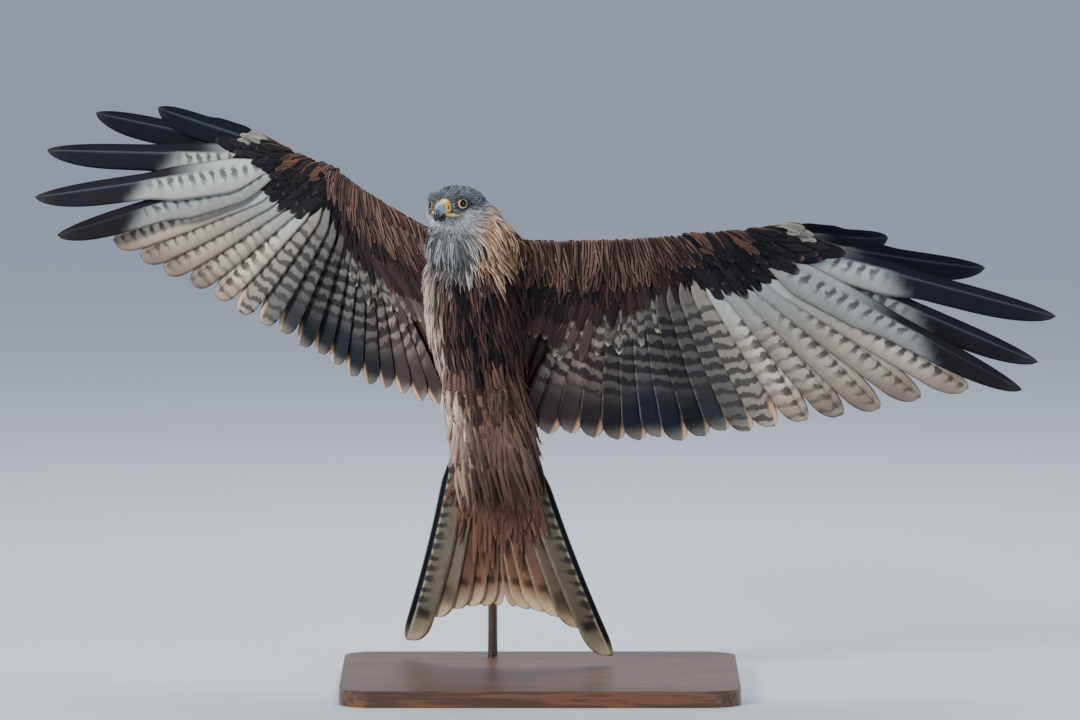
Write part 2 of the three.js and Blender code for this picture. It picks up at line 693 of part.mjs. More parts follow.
// The side of a fanned feather that leads in flight.
function leading(axis, behind, fan) {
  return axis.clone().multiplyScalar(sin(fan * DEG)).addScaledVector(behind, -cos(fan * DEG));
}

function primary(frame, k) {
  const step = max(0, k - STEPPED_FROM) * ROOT_STEP;
  const root = from(frame.wrist, [frame.hand, PRIMARY_START + SHAFT_PITCH * k], [frame.handBack, -step]);
  const fan = frame.primaryFans[k];
  const lift = frame.primaryLifts[k];
  const direction = fanned(frame.hand, frame.handBack, frame.handNormal, fan, lift);
  const finger = k >= FIRST_FINGER;
  return {
    root,
    tip: from(root, [direction, frame.primaries[k]]),
    normal: frame.handNormal,
    lead: leading(frame.hand, frame.handBack, fan),
    webs: finger ? WEBS.finger : WEBS.inner,
    profile: finger ? FINGER : QUILL,
    roll: QUILL_ROLL,
    bend: lift > LIFTED.above ? LIFTED.bend : 0,
  };
}

// A feather of the inmost group, along the upper arm, laid over its neighbour's back.
function tertial(frame, k) {
  const place = TERTIAL_ROOTS.start + TERTIAL_ROOTS.step * k;
  const root = frame.elbow.clone().lerp(frame.shoulder, place);
  const fan = frame.secondaryFans.at(-1) - TERTIAL_TURN * (k + 1);
  const direction = fanned(frame.arm, frame.armBack, frame.armNormal, fan, TERTIAL_LIFT * (k + 1));
  return {
    root,
    tip: from(root, [direction, TERTIAL_LENGTHS[k]]),
    normal: frame.armNormal,
    lead: leading(frame.arm, frame.armBack, fan),
    webs: WEBS.tertial,
    profile: QUILL,
    roll: TERTIAL_ROLL,
  };
}

function secondary(frame, k) {
  const place = SECONDARY_ROOTS.start + (SECONDARY_ROOTS.run * k) / (frame.secondaries.length - 1);
  const root = frame.wrist.clone().lerp(frame.elbow, place);
  const fan = frame.secondaryFans[k];
  const direction = fanned(frame.arm, frame.armBack, frame.armNormal, fan, frame.secondaryLifts[k]);
  return {
    root,
    tip: from(root, [direction, frame.secondaries[k]]),
    normal: frame.armNormal,
    lead: leading(frame.arm, frame.armBack, fan),
    webs: WEBS.secondary,
    profile: QUILL,
    roll: QUILL_ROLL,
  };
}

// A covert over the root of a flight feather, on the back or the belly face.
function covert(quill, face, length, { rise, droop }, webs) {
  const direction = quill.tip.clone().sub(quill.root).normalize();
  const normal = squareTo(quill.normal, direction);
  const root = from(quill.root, [direction, COVERT_START], [normal, face * rise]);
  return {
    ...quill,
    root,
    tip: from(root, [direction, length], [normal, face * droop]),
    webs,
    profile: COVERT,
    roll: COVERT_ROLL,
    bend: 0,
  };
}

// Arm and hand part at a plane through the wrist, between their nearest quills.
function wristPlane(frame) {
  const inner = secondary(frame, 0);
  const outer = primary(frame, 0);
  const innerRun = inner.tip.clone().sub(inner.root).normalize();
  const outerRun = outer.tip.clone().sub(outer.root).normalize();
  const between = innerRun.add(outerRun);
  const facing = cross(between, frame.armNormal.clone().add(frame.handNormal)).multiplyScalar(frame.side);
  return facing.dot(frame.hand) > 0 ? facing : facing.negate();
}

function handSolid(frame) {
  const quills = frame.primaries.map((_, k) => primary(frame, k));
  const pieces = [handShape(frame, 0), ...quills.map(vane)];
  for (let k = 0; k < quills.length - 1; k += 2) {
    const length = HAND_COVERTS.length + HAND_COVERTS.gain * k;
    pieces.push(vane(covert(quills[k], -1, length, COVERT_BELLY, HAND_COVERTS.webs)));
    pieces.push(vane(covert(quills[k], 1, length * HAND_COVERTS.back, COVERT_BACK, HAND_COVERTS.webs)));
  }
  const facing = wristPlane(frame);
  return join(pieces).trimByPlane(facing.toArray(), facing.dot(frame.wrist) + GAP / 2);
}

function armSolid(frame) {
  const quills = frame.secondaries.map((_, k) => secondary(frame, k));
  const inmost = TERTIAL_LENGTHS.map((_, k) => tertial(frame, k));
  const pieces = [armShape(frame, 0), ...quills.map(vane), ...inmost.map(vane)];
  for (let k = 0; k < quills.length; k += 2) {
    pieces.push(vane(covert(quills[k], -1, ARM_COVERTS.belly, COVERT_BELLY, ARM_COVERTS.webs)));
    pieces.push(vane(covert(quills[k], 1, ARM_COVERTS.back, COVERT_BACK, ARM_COVERTS.webs)));
  }
  const facing = wristPlane(frame).negate();
  const whole = join(pieces).trimByPlane(facing.toArray(), facing.dot(frame.wrist) + GAP / 2);
  return whole.subtract(solid(torsoShape(GAP))).subtract(solid(neckShape(GAP)));
}

// Three small feathers on the thumb, ahead of the wrist.
function alulaSolid(frame) {
  const { hand, handBack, handNormal } = frame;
  const root = from(frame.wrist, [hand, ALULA.out], [handBack, ALULA.back], [handNormal, ALULA.up]);
  const pieces = [ball(root, ALULA.ball, 12, 8)];
  [0, 1, 2].forEach((k) => {
    const fan = ALULA_FAN.start + ALULA_FAN.step * k;
    const direction = fanned(hand, handBack, handNormal, fan, ALULA_FAN.lift);
    const [backStep, backStart] = ALULA_ROOT.back;
    const [upStep, upStart] = ALULA_ROOT.up;
    const start = from(root, [handBack, backStep * k + backStart], [handNormal, upStep * k + upStart]);
    pieces.push(vane({
      root: start,
      tip: from(start, [direction, ALULA.length - ALULA.shorter * k]),
      normal: handNormal,
      lead: handBack.clone().negate(),
      webs: ALULA.webs,
      profile: COVERT,
      roll: ALULA.roll,
    }));
  });
  return join(pieces).subtract(solid(handShape(frame, GAP))).subtract(solid(armShape(frame, GAP)));
}

// Stand

const bird = new THREE.Group();
bird.rotation.x = LEAN_BACK;
const group = new THREE.Group();
group.add(bird);

function add(parent, name, geometry, color, roughness, metalness = 0) {
  const material = new THREE.MeshStandardMaterial({ color, roughness, metalness });
  const mesh = new THREE.Mesh(geometry, material);
  mesh.name = name;
  parent.add(mesh);
  return mesh;
}

// Height of the lowest point of a geometry once it is leaned back.
function lowest(geometry) {
  const turned = geometry.clone().applyMatrix4(new THREE.Matrix4().makeRotationX(LEAN_BACK));
  turned.computeBoundingBox();
  return turned.boundingBox.min.z;
}

const tail = largest(tailSolid());
const lift = BASE.height + TAIL_CLEARANCE - lowest(tail);
bird.position.z = lift;
bird.updateMatrixWorld(true);

// The rod in the stand's own frame: its upper end sits in the back.
const rodTop = ROD_BACK.clone().applyMatrix4(bird.matrixWorld);
const rodRun = vec(0, -sin(ROD_SLANT), cos(ROD_SLANT));
const rodLength = (rodTop.z - (BASE.height - ROD_SUNK)) / rodRun.z;
const rodFoot = from(rodTop, [rodRun, -rodLength]);

function rodShape(extra) {
  const rod = new THREE.CylinderGeometry(ROD_RADIUS + extra, ROD_RADIUS + extra, rodLength + 2 * extra, 24);
  rod.applyQuaternion(new THREE.Quaternion().setFromUnitVectors(vec(0, 1, 0), rodRun));
  const centre = from(rodFoot, [rodRun, rodLength / 2]);
  return rod.translate(centre.x, centre.y, centre.z);
}

function baseSolid() {
  const { width, depth, height, corner } = BASE;
  const outline = new THREE.Shape();
  outline.moveTo(-width / 2 + corner, -depth / 2);
  outline.absarc(width / 2 - corner, -depth / 2 + corner, corner, -PI / 2, 0);
  outline.absarc(width / 2 - corner, depth / 2 - corner, corner, 0, PI / 2);
  outline.absarc(-width / 2 + corner, depth / 2 - corner, corner, PI / 2, PI);
  outline.absarc(-width / 2 + corner, -depth / 2 + corner, corner, PI, 1.5 * PI);
  const slab = new THREE.ExtrudeGeometry(outline, { depth: height, bevelEnabled: false, curveSegments: 8 });
  slab.translate(0, BASE_AHEAD, 0);
  return solid(slab).subtract(solid(rodShape(GAP)));
}

// The rod's socket, cut in the bird's own frame.
function socket() {
  return rodShape(GAP).applyMatrix4(bird.matrixWorld.clone().invert());
}

add(bird, 'torso', largest(solid(torsoShape(0)).subtract(solid(socket()))), FEATHER_COLOURS.body, 0.85);
add(bird, 'neck', largest(solid(neckShape(0)).subtract(solid(headShape(GAP)))), FEATHER_COLOURS.head, 0.85);
add(bird, 'head', largest(headSolid()), FEATHER_COLOURS.head, 0.85);
add(bird, 'cere', largest(cereSolid()), BONE_COLOURS.cere, 0.5);
add(bird, 'bill_upper', hookShape(), BONE_COLOURS.bill, 0.35);
const lowerBill = solid(lowerShape(0)).subtract(solid(cereShape(GAP)));
add(bird, 'bill_lower', largest(lowerBill), BONE_COLOURS.bill, 0.35);
add(bird, 'tail', tail, FEATHER_COLOURS.tail, 0.8);

for (const wing of [LEFT_WING, RIGHT_WING]) {
  const name = wing.side > 0 ? 'left' : 'right';
  const frame = wingFrame(wing);
  add(bird, `eye_${name}`, ball(eyeCentre(wing.side), EYE_RADIUS, 12, 9), BONE_COLOURS.eye, 0.1);
  add(bird, `wing_${name}_arm`, largest(armSolid(frame)), FEATHER_COLOURS.wing, 0.8);
  add(bird, `wing_${name}_hand`, largest(handSolid(frame)), FEATHER_COLOURS.hand, 0.8);
  add(bird, `alula_${name}`, largest(alulaSolid(frame)), FEATHER_COLOURS.hand, 0.8);
  const thigh = solid(thighShape(wing.side, 0)).subtract(solid(torsoShape(GAP)));
  add(bird, `leg_${name}`, largest(thigh), FEATHER_COLOURS.thigh, 0.85);
  const clearOfThigh = footSolid(wing.side).subtract(solid(thighShape(wing.side, GAP)));
  const foot = clearOfThigh.subtract(solid(torsoShape(GAP)));
  add(bird, `foot_${name}`, largest(foot), BONE_COLOURS.foot, 0.6);
  TOE_LENGTHS.forEach((_, index) => {
    add(bird, `claw_${name}_${index + 1}`, clawShape(wing.side, index), BONE_COLOURS.claw, 0.3);
  });
}

add(group, 'stand_rod', rodShape(0), STAND_COLOURS.rod, 0.3, 1);
add(group, 'stand_base', largest(baseSolid()), STAND_COLOURS.base, 0.5);

export default group;
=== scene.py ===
import math

import bmesh
import bpy
import numpy as np
from mathutils import Matrix, Vector
from mathutils.bvhtree import BVHTree


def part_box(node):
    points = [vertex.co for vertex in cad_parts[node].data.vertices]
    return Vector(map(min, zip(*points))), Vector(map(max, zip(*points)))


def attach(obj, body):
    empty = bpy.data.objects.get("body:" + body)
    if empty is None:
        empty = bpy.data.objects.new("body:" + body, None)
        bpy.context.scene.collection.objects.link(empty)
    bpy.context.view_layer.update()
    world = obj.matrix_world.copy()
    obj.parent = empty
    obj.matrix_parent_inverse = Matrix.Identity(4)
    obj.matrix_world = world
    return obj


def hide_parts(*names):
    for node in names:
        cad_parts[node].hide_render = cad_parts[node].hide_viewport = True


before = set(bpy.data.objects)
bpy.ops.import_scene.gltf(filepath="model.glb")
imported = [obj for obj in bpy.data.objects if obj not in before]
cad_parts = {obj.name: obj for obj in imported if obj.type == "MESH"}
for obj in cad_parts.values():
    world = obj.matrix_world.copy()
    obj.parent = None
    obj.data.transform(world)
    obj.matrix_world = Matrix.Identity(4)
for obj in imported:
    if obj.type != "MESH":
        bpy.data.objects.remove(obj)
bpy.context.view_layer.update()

# The bird in the air. A gliding kite, belly to the viewer, its head end tipped away, rolled a little and
# leaned over to its right. It is laid out upright in millimetres and then leaned back over its stand,
# whose height comes from the place of its left eye in the frame.
MM = 0.001
DEG = math.pi / 180
LEAN_BACK = -5 * DEG
BODY_TILT = 7.6 * DEG
BODY_PITCH = 22 * DEG
BODY_ROLL = 15 * DEG
HEAD_TURN = 24 * DEG
HEAD_DIP = 8 * DEG
HEAD_ROLL = 7.5 * DEG
TORSO_CENTRE = np.array((-74.4, 0, 36))
HEAD_CENTRE = np.array((-98.4, -62, 177.6))
EYE_AHEAD, EYE_OUT, EYE_UP = 29.5, 17, 12.5
EYE_RAISED = {1: 2.6, -1: -5}


def unit(run):
    return run / np.maximum(np.linalg.norm(run, axis=-1, keepdims=True), 1e-9)


def turned(run, axis, angle):
    return np.array(Matrix.Rotation(angle, 3, Vector(axis)) @ Vector(run))


def square_to(run, axis):
    return unit(run - (run * axis).sum(-1, keepdims=True) * axis)


forward = np.array((
    -math.sin(BODY_TILT) * math.cos(BODY_PITCH), -math.sin(BODY_PITCH), math.cos(BODY_TILT) * math.cos(BODY_PITCH)))
level = np.array((math.cos(BODY_TILT), 0, math.sin(BODY_TILT)))
left = turned(level, forward, -BODY_ROLL)
back = turned(unit(np.cross(forward, level)), forward, -BODY_ROLL)
head_forward = np.array((
    -math.sin(HEAD_TURN) * math.cos(HEAD_DIP), -math.cos(HEAD_TURN) * math.cos(HEAD_DIP), -math.sin(HEAD_DIP)))
head_left = turned((math.cos(HEAD_TURN), -math.sin(HEAD_TURN), 0), head_forward, -HEAD_ROLL)
head_up = unit(np.cross(head_forward, head_left))
lean = np.array(Matrix.Rotation(LEAN_BACK, 3, "X"))


def in_head(ahead, out, up):
    return HEAD_CENTRE + ahead * head_forward + out * head_left + up * head_up


eye_low, eye_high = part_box("eye_left")
lift = ((eye_low + eye_high) / 2).z - (lean @ in_head(EYE_AHEAD, EYE_OUT, EYE_UP))[2] * MM


def placed(points):
    """Upright places in millimetres, leaned back and lifted into the frame, in metres."""
    return np.asarray(points) @ lean.T * MM + np.array((0, 0, lift))


# The skin. Flesh under the feathers from crown to rump, with the thighs and the fleshy part of both wings,
# as one closed skin: each part is stretched over a few girths, and the parts are grown together.
COAT_DEPTH = {"torso": 5, "neck": 4, "head": 1.8, "thigh": 5, "rump": 4, "wing": 2.2}
OVERLAP = 14
TORSO_GIRTHS = [(95, 50, 40, 40), (75, 58, 46, 52), (40, 63, 50, 61), (0, 62, 50, 62),
                (-40, 57, 46, 54), (-80, 50, 42, 44), (-115, 42, 33, 34), (-140, 35, 25, 25)]
NECK_GIRTHS = [(0, 50, 40, 40), (0.25, 51, 43, 39), (0.6, 45, 40, 36), (1, 34, 34, 30)]
HEAD_GIRTHS = [(-38, 12, 11, 12, 2), (-31, 25, 22, 24, 1), (-14, 34, 29, 30, 0), (4, 34.5, 30, 30, 0),
               (19, 32, 27.5, 25, 1), (30, 26.5, 23, 19.5, 3), (38, 18, 17, 14, 4), (43.5, 11, 12.5, 10.5, 5)]
THIGH_GIRTHS = [(-52, 17, 12, 12, -44), (-75, 22, 17, 17, -41), (-105, 18, 15, 15, -33),
                (-128, 12, 10, 10, -28), (-138, 7, 6, 6, -26)]
THIGH_OUT, THIGH_SPREAD = 25, 0.25 / 96
RUMP_GIRTHS = [(0, 35, 25, 25), (18, 40, 18, 19), (36, 43, 11, 13), (54, 41, 6, 9)]
# place ahead of, beside and above the middle of the head, and half thickness
BROW = [(37, 9, 20, 2), (33, 15, 22.5, 3.6), (27, 21, 23.5, 4.4), (20, 25.5, 21, 4.4), (10, 29, 15, 2)]
FAR_BROW = (1, 6, 1.4)
FOREHEAD = [(31, -9.5, 19.5, 3), (25, -11.5, 21.5, 4.6), (16, -10.5, 23.5, 5), (4, -9, 25, 4)]
# place ahead of, to the left of and behind the middle of the torso, and half thickness
MANTLE = [(158, 20, -3, 12), (146, 28, 2, 13), (134, 33, 5, 14), (113, 41, 9, 16), (86, 57, 27, 13), (77, 87, 40, 10)]
TAIL_AXIS = unit(np.array((0.065, 0.4715, -0.8795)))
TAIL_ACROSS = unit(np.array((0.963, -0.26, -0.068)))
tail_up = unit(np.cross(TAIL_ACROSS, TAIL_AXIS))
tail_up = tail_up * np.sign(tail_up @ back)
tail_start = TORSO_CENTRE + forward * (TORSO_GIRTHS[-1][0] - 0.35)
SKIN_VOXEL = 0.0021
SKIN_SOFTENING = 6
RING_POINTS = 40
HUMERUS, ULNA = 120, 138
SHOULDER = TORSO_CENTRE + 20 * back + 80 * forward
SHOULDER_OUT = 40
ARM_GIRTHS = [(-0.12, 35, 18, 16), (0.12, 32, 16, 13), (0.4, 24, 12, 10), (0.72, 17, 10, 8.5), (1.08, 15, 9, 8)]
HAND_GIRTHS = [(-16, 14, 9, 8), (30, 13, 8, 7), (72, 15, 6.5, 6), (104, 19, 5, 4.5)]
FLESH_BEHIND, FLESH_EDGE, HAND_TAPER = 17, 4.6, 0.35
LEFT_WING = {
    "side": 1, "leading_reach": 0.76, "wrist": (186, 12, 141), "hand_axis": (0.986, 0.162, 0.037),
    "hand_normal": (-0.166, 0.96, 0.228), "arm_normal": (-0.168, 0.942, 0.291), "covert_turn": -20,
    "primaries": (260, 275, 293, 314, 348, 394, 400, 388, 325, 200),
    "primary_fans": (59.7, 53, 46.7, 39.9, 33.6, 29.5, 25.2, 17.3, 15.1, 14.1),
    "primary_lifts": (0, 0, 0, 0, 0, -2.2, 3.8, 2.4, 20.9, 34.1),
    "secondaries": (251, 243, 231, 229, 226, 214, 211, 204, 197, 189, 189, 183),
    "secondary_fans": (69.2, 73.5, 77.2, 80.9, 85.2, 89, 92.7, 97.4, 103.1, 109.1, 114.8, 119.5),
    "secondary_lifts": (-3.5, -3.4, -2.8, -2, -1, -0.3, 0, 0, 0, 0, 0, 0),
}
RIGHT_WING = {
    "side": -1, "leading_reach": 1, "wrist": (-257, 116, 224), "hand_axis": (-0.736, 0.621, 0.269),
    "hand_normal": (0.665, 0.738, 0.116), "arm_normal": (0.728, 0.651, 0.217), "covert_turn": 20,
    "primaries": (248, 266, 291, 312, 340, 394, 400, 388, 325, 200),
    "primary_fans": (52.1, 45.6, 39.8, 35.4, 30.8, 27.7, 20.8, 13.6, 6.9, 1.8),
    "primary_lifts": (0, 0, 0, 0, 0, -4.6, -6.2, -2.3, 3.1, 2.3),
    "secondaries": (235, 218, 206, 203, 195, 192, 190, 184, 176, 174, 178, 180),
    "secondary_fans": (73.4, 79.7, 84.4, 89.7, 94.1, 98.8, 105.1, 112.8, 120.6, 129.3, 137.6, 146),
    "secondary_lifts": (-8.5, -7.9, -6.2, -4, -2, -0.6, 0, 0, 0, 0, 0, 0),
}


def eased(rows, steps):
    """A few rows of sizes, eased into a longer list of rows."""
    rows = np.array(rows, float)
    last = len(rows) - 1
    at = np.linspace(0, last, steps + 1)
    start = np.minimum(at.astype(int), last - 1)
    t = (at - start)[:, None]
    a, b, c, d = (rows[np.clip(start + i, 0, last)] for i in (-1, 0, 1, 2))
    return b + t * (0.5 * (c - a) + t * (a - 2.5 * b + 2 * c - 0.5 * d + t * (0.5 * (d - a) + 1.5 * (b - c))))


def measured(rows, place, *columns):
    """Sizes from some columns of a few rows, at places along the first column."""
    rows = np.array(rows, float)
    return [np.interp(place, rows[:, 0], rows[:, k]) for k in columns]


def torso_stations(steps):
    return [(TORSO_CENTRE + forward * place, left, back, width, above, below)
            for place, width, above, below in eased(TORSO_GIRTHS, steps)]


def neck_stations(steps):
    start = TORSO_CENTRE + forward * TORSO_GIRTHS[0][0]
    run = HEAD_CENTRE - start
    stations = []
    for place, width, above, below in eased(NECK_GIRTHS, steps):
        axis = unit(forward + (unit(run) - forward) * place)
        side = square_to(left + (head_left - left) * place, axis)
        stations.append((start + run * place, side, unit(np.cross(axis, side)), width, above, below))
    return stations


def head_stations(steps):
    return [(in_head(place, 0, rise), head_left, head_up, width, above, below)
            for place, width, above, below, rise in eased(HEAD_GIRTHS, steps)]


def thigh_stations(steps, side):
    stations = []
    for place, width, above, below, depth in eased(THIGH_GIRTHS, steps):
        out = side * THIGH_OUT * (1 + THIGH_SPREAD * (place - THIGH_GIRTHS[0][0]))
        stations.append((TORSO_CENTRE + forward * place + left * out + back * depth, left, back, width, above, below))
    return stations


def brow_stations(steps, side):
    """Along the ridge over one eye, fuller and lower on the side that the head is turned to."""
    fuller, drop, inward = (0, 0, 0) if side > 0 else FAR_BROW
    across = unit(head_left * side + head_forward)
    return [(in_head(ahead, side * (out - inward), up - drop), head_up, across, *[size + fuller] * 3)
            for ahead, out, up, size in eased(BROW, steps)]


def mantle_stations(steps):
    """From the left side of the neck over the shoulder, where the turned head stretches the neck."""
    path = eased(MANTLE, steps)
    centre = TORSO_CENTRE + path[:, :3] @ np.array((forward, left, back))
    axis = unit(np.gradient(centre, axis=0))
    side = square_to(back, axis)
    return [(c, s, u, r, r, r) for c, s, u, r in zip(centre, side, np.cross(axis, side), path[:, 3])]


def forehead_stations(steps):
    """Along the crown's far side, filled out between the two brows."""
    return [(in_head(ahead, out, up), head_left, head_up, size, size, size)
            for ahead, out, up, size in eased(FOREHEAD, steps)]


def rump_stations(steps):
    stations = []
    for place, width, above, below in eased(RUMP_GIRTHS, steps):
        share = min(1, place / 30)
        axis = unit(-forward + (TAIL_AXIS + forward) * share)
        side = square_to(left + (TAIL_ACROSS - left) * share, axis)
        up = square_to(back + (tail_up - back) * share, axis)
        stations.append((tail_start + TAIL_AXIS * place, side, up, width, above, below))
    return stations


def girth(station, count, extra=0.0):
    """Points round one station, wider by a given amount."""
    centre, side, up, width, above, below = station
    angle = np.arange(count) * 2 * math.pi / count
    height = np.where(np.sin(angle) > 0, above + extra, below + extra) * np.sin(angle)
    return centre + np.outer((width + extra) * np.cos(angle), side) + np.outer(height, up)


def loft(mesh, rings):
    """A closed skin through rings of points, bridged one after another and capped at both ends."""
    loops = []
    for points in rings:
        verts = bmesh.ops.create_circle(mesh, segments=len(points), radius=1)["verts"]
        for vert, point in zip(verts, placed(points)):
            vert.co = point
        loops.append(verts)
    for near, far in zip(loops, loops[1:]):
        pair = set(near) | set(far)
        edges = {e for v in pair for e in v.link_edges
                 if e.other_vert(v) in pair and (v in near) == (e.other_vert(v) in near)}
        bmesh.ops.bridge_loops(mesh, edges=[e for e in edges if len(e.link_faces) < 2])
    for end in (loops[0], loops[-1]):
        bmesh.ops.contextual_create(mesh, geom=end)


def elliptic(mesh, stations, inset, count=RING_POINTS, sunk=0):
    """A closed skin inside some stations, whose first end may be sunk into the part before it."""
    rings = [girth(s, count, -inset) for s in stations]
    rings[0] = rings[0] + unit(stations[1][0] - stations[0][0]) * (inset - sunk)
    rings[-1] = rings[-1] + unit(stations[-2][0] - stations[-1][0]) * inset
    loft(mesh, rings)


def wing_frame(wing):
    """The bones and axes of one wing, worked out from its wrist and the lengths of its bones."""
    side = wing["side"]
    shoulder = SHOULDER + left * side * SHOULDER_OUT
    wrist = np.array(wing["wrist"], float)
    reach = np.linalg.norm(wrist - shoulder)
    arm = unit(wrist - shoulder)
    arm_normal = square_to(np.array(wing["arm_normal"]), arm)
    arm_back = unit(np.cross(arm_normal, arm)) * side
    along = (HUMERUS ** 2 - ULNA ** 2 + reach ** 2) / (2 * reach)
    drop = math.sqrt(HUMERUS ** 2 - along ** 2)
    hand = unit(np.array(wing["hand_axis"]))
    hand_normal = square_to(np.array(wing["hand_normal"]), hand)
    return {**wing, "shoulder": shoulder, "wrist": wrist, "reach": reach, "arm": arm, "arm_normal": arm_normal,
            "arm_back": arm_back, "along": along, "drop": drop, "hand": hand, "hand_normal": hand_normal,
            "elbow": shoulder + arm * along + arm_back * drop,
            "hand_back": unit(np.cross(hand_normal, hand)) * side}


def flesh_section(centre, behind_axis, normal, ahead, behind, above, below):
    """Section of the fleshy part of a wing, blunt behind and round in front."""
    chord = ahead + behind
    rows = [(0.02, 0.3), (0.06, 0.5), (0.16, 0.82), (0.3, 1), (0.5, 0.95), (0.7, 0.8), (1, 0)]
    edge = FLESH_EDGE - COAT_DEPTH["wing"]

    def at(place, height):
        return centre + behind_axis * (chord * place - ahead) + normal * height

    upper = [at(place, max(edge * min(1, place * 8), above * share)) for place, share in rows]
    lower = [at(place, -max(edge * min(1, place * 8), below * share)) for place, share in rows]
    return np.array([at(0, 0), *upper, *lower[::-1]])


def arm_measures(wing, place):
    """Reach ahead and behind the line from shoulder to wrist, and thickness, at a place along it."""
    ahead, above, below = measured(ARM_GIRTHS, place, 1, 2, 3)
    along = wing["reach"] * place
    beyond = (wing["reach"] - along) / (wing["reach"] - wing["along"])
    bone = np.maximum(0, wing["drop"] * np.minimum(along / wing["along"], beyond))
    return ahead * wing["leading_reach"], bone + FLESH_BEHIND, above, below


def hand_behind(place):
    """Reach of the flesh behind the bones of the hand, at a place along it."""
    return FLESH_BEHIND * (1 - HAND_TAPER * place / HAND_GIRTHS[-1][0])


wings = {"left": wing_frame(LEFT_WING), "right": wing_frame(RIGHT_WING)}
flesh = bmesh.new()
elliptic(flesh, torso_stations(14), COAT_DEPTH["torso"])
elliptic(flesh, neck_stations(8), COAT_DEPTH["neck"], sunk=OVERLAP)
elliptic(flesh, head_stations(16), COAT_DEPTH["head"])
elliptic(flesh, rump_stations(6), COAT_DEPTH["rump"], sunk=OVERLAP)
for side in (1, -1):
    elliptic(flesh, thigh_stations(8, side), COAT_DEPTH["thigh"], 24)
    loft(flesh, [girth(s, 16) for s in brow_stations(8, side)])
loft(flesh, [girth(s, 16) for s in forehead_stations(8)])
loft(flesh, [girth(s, 24) for s in mantle_stations(10)])
for wing in wings.values():
    inset = COAT_DEPTH["wing"]
    rings = []
    for place in np.linspace(ARM_GIRTHS[0][0], ARM_GIRTHS[-1][0], 12):
        ahead, behind, above, below = arm_measures(wing, place)
        rings.append(flesh_section(wing["shoulder"] + wing["arm"] * wing["reach"] * place, wing["arm_back"],
                                   wing["arm_normal"], ahead - inset, behind - inset, above - inset, below - inset))
    loft(flesh, rings)
    rings = [flesh_section(wing["wrist"] + wing["hand"] * place, wing["hand_back"], wing["hand_normal"],
                           ahead - inset, hand_behind(place) - inset, above - inset, below - inset)
             for place, ahead, above, below in eased(HAND_GIRTHS, 8)]
    loft(flesh, rings)
bmesh.ops.recalc_face_normals(flesh, faces=flesh.faces)


def new_piece(name, mesh):
    """A Blender object made from a bmesh or a finished mesh."""
    if isinstance(mesh, bmesh.types.BMesh):
        data = bpy.data.meshes.new(name)
        mesh.to_mesh(data)
        mesh.free()
    else:
        data = mesh
    piece = bpy.data.objects.new(name, data)
    bpy.context.scene.collection.objects.link(piece)
    return piece


def settled(piece):
    """The piece with its modifiers worked into its mesh."""
    bpy.context.view_layer.update()
    worked = piece.evaluated_get(bpy.context.evaluated_depsgraph_get())
    data = bpy.data.meshes.new_from_object(worked)
    piece.modifiers.clear()
    piece.data = data
    return piece


skin = new_piece("skin", flesh)
grown = skin.modifiers.new("grown together", "REMESH")
grown.mode = "VOXEL"
grown.voxel_size = SKIN_VOXEL
grown.use_smooth_shade = True
soft = skin.modifiers.new("softened", "SMOOTH")
soft.factor = 0.5
soft.iterations = SKIN_SOFTENING
settled(skin)
skin.data.polygons.foreach_set("use_smooth", [True] * len(skin.data.polygons))
skin_points = np.zeros(len(skin.data.vertices) * 3)
skin.data.vertices.foreach_get("co", skin_points)
skin_points = skin_points.reshape(-1, 3)
skin_tree = BVHTree.FromObject(skin, bpy.context.evaluated_depsgraph_get())


def upright(points):
    """Places in the frame, back as upright places in millimetres."""
    return (np.asarray(points) - np.array((0, 0, lift))) @ lean / MM


def on_skin(points):
    """The nearest places on the skin and the directions out of it, for upright places in millimetres."""
    found = [skin_tree.find_nearest(p)[:2] for p in placed(points)]
    return upright([f[0] for f in found]), np.array([f[1] for f in found]) @ lean


# The colours of the plumage. Rufous brown below with black shafts and buff edges, a grey-white streaked
# head, black fingers and pale patches under the wings. Skin and feathers take them from the same rule.
def paint(red, green, blue):
    """A colour as a screen shows it, as the share of light that it gives back."""
    shown = np.array((red, green, blue)) / 255
    return np.where(shown <= 0.04045, shown / 12.92, ((shown + 0.055) / 1.055) ** 2.4)


RUFOUS = paint(122, 84, 66)
UMBER = paint(50, 37, 35)
SOOT = paint(20, 20, 26)
SAND = paint(158, 122, 100)
HEAD_GREY = paint(168, 168, 164)
# Blue-grey of the pale head grey in shade: painted shade, laid on the crown.
CROWN_SHADE = paint(116, 126, 132)


def ramp(value, low, high):
    """0 below one value, 1 above another, and eased in between."""
    t = np.clip((value - low) / (high - low), 0, 1)
    return t * t * (3 - 2 * t)


def blend(a, b, share):
    return a + (b - a) * np.asarray(share)[..., None]


def mottled(light, dark, share):
    """A light colour, turned to a dark one by each place's own share."""
    return blend(light * np.ones((len(share), 3)), dark, share)


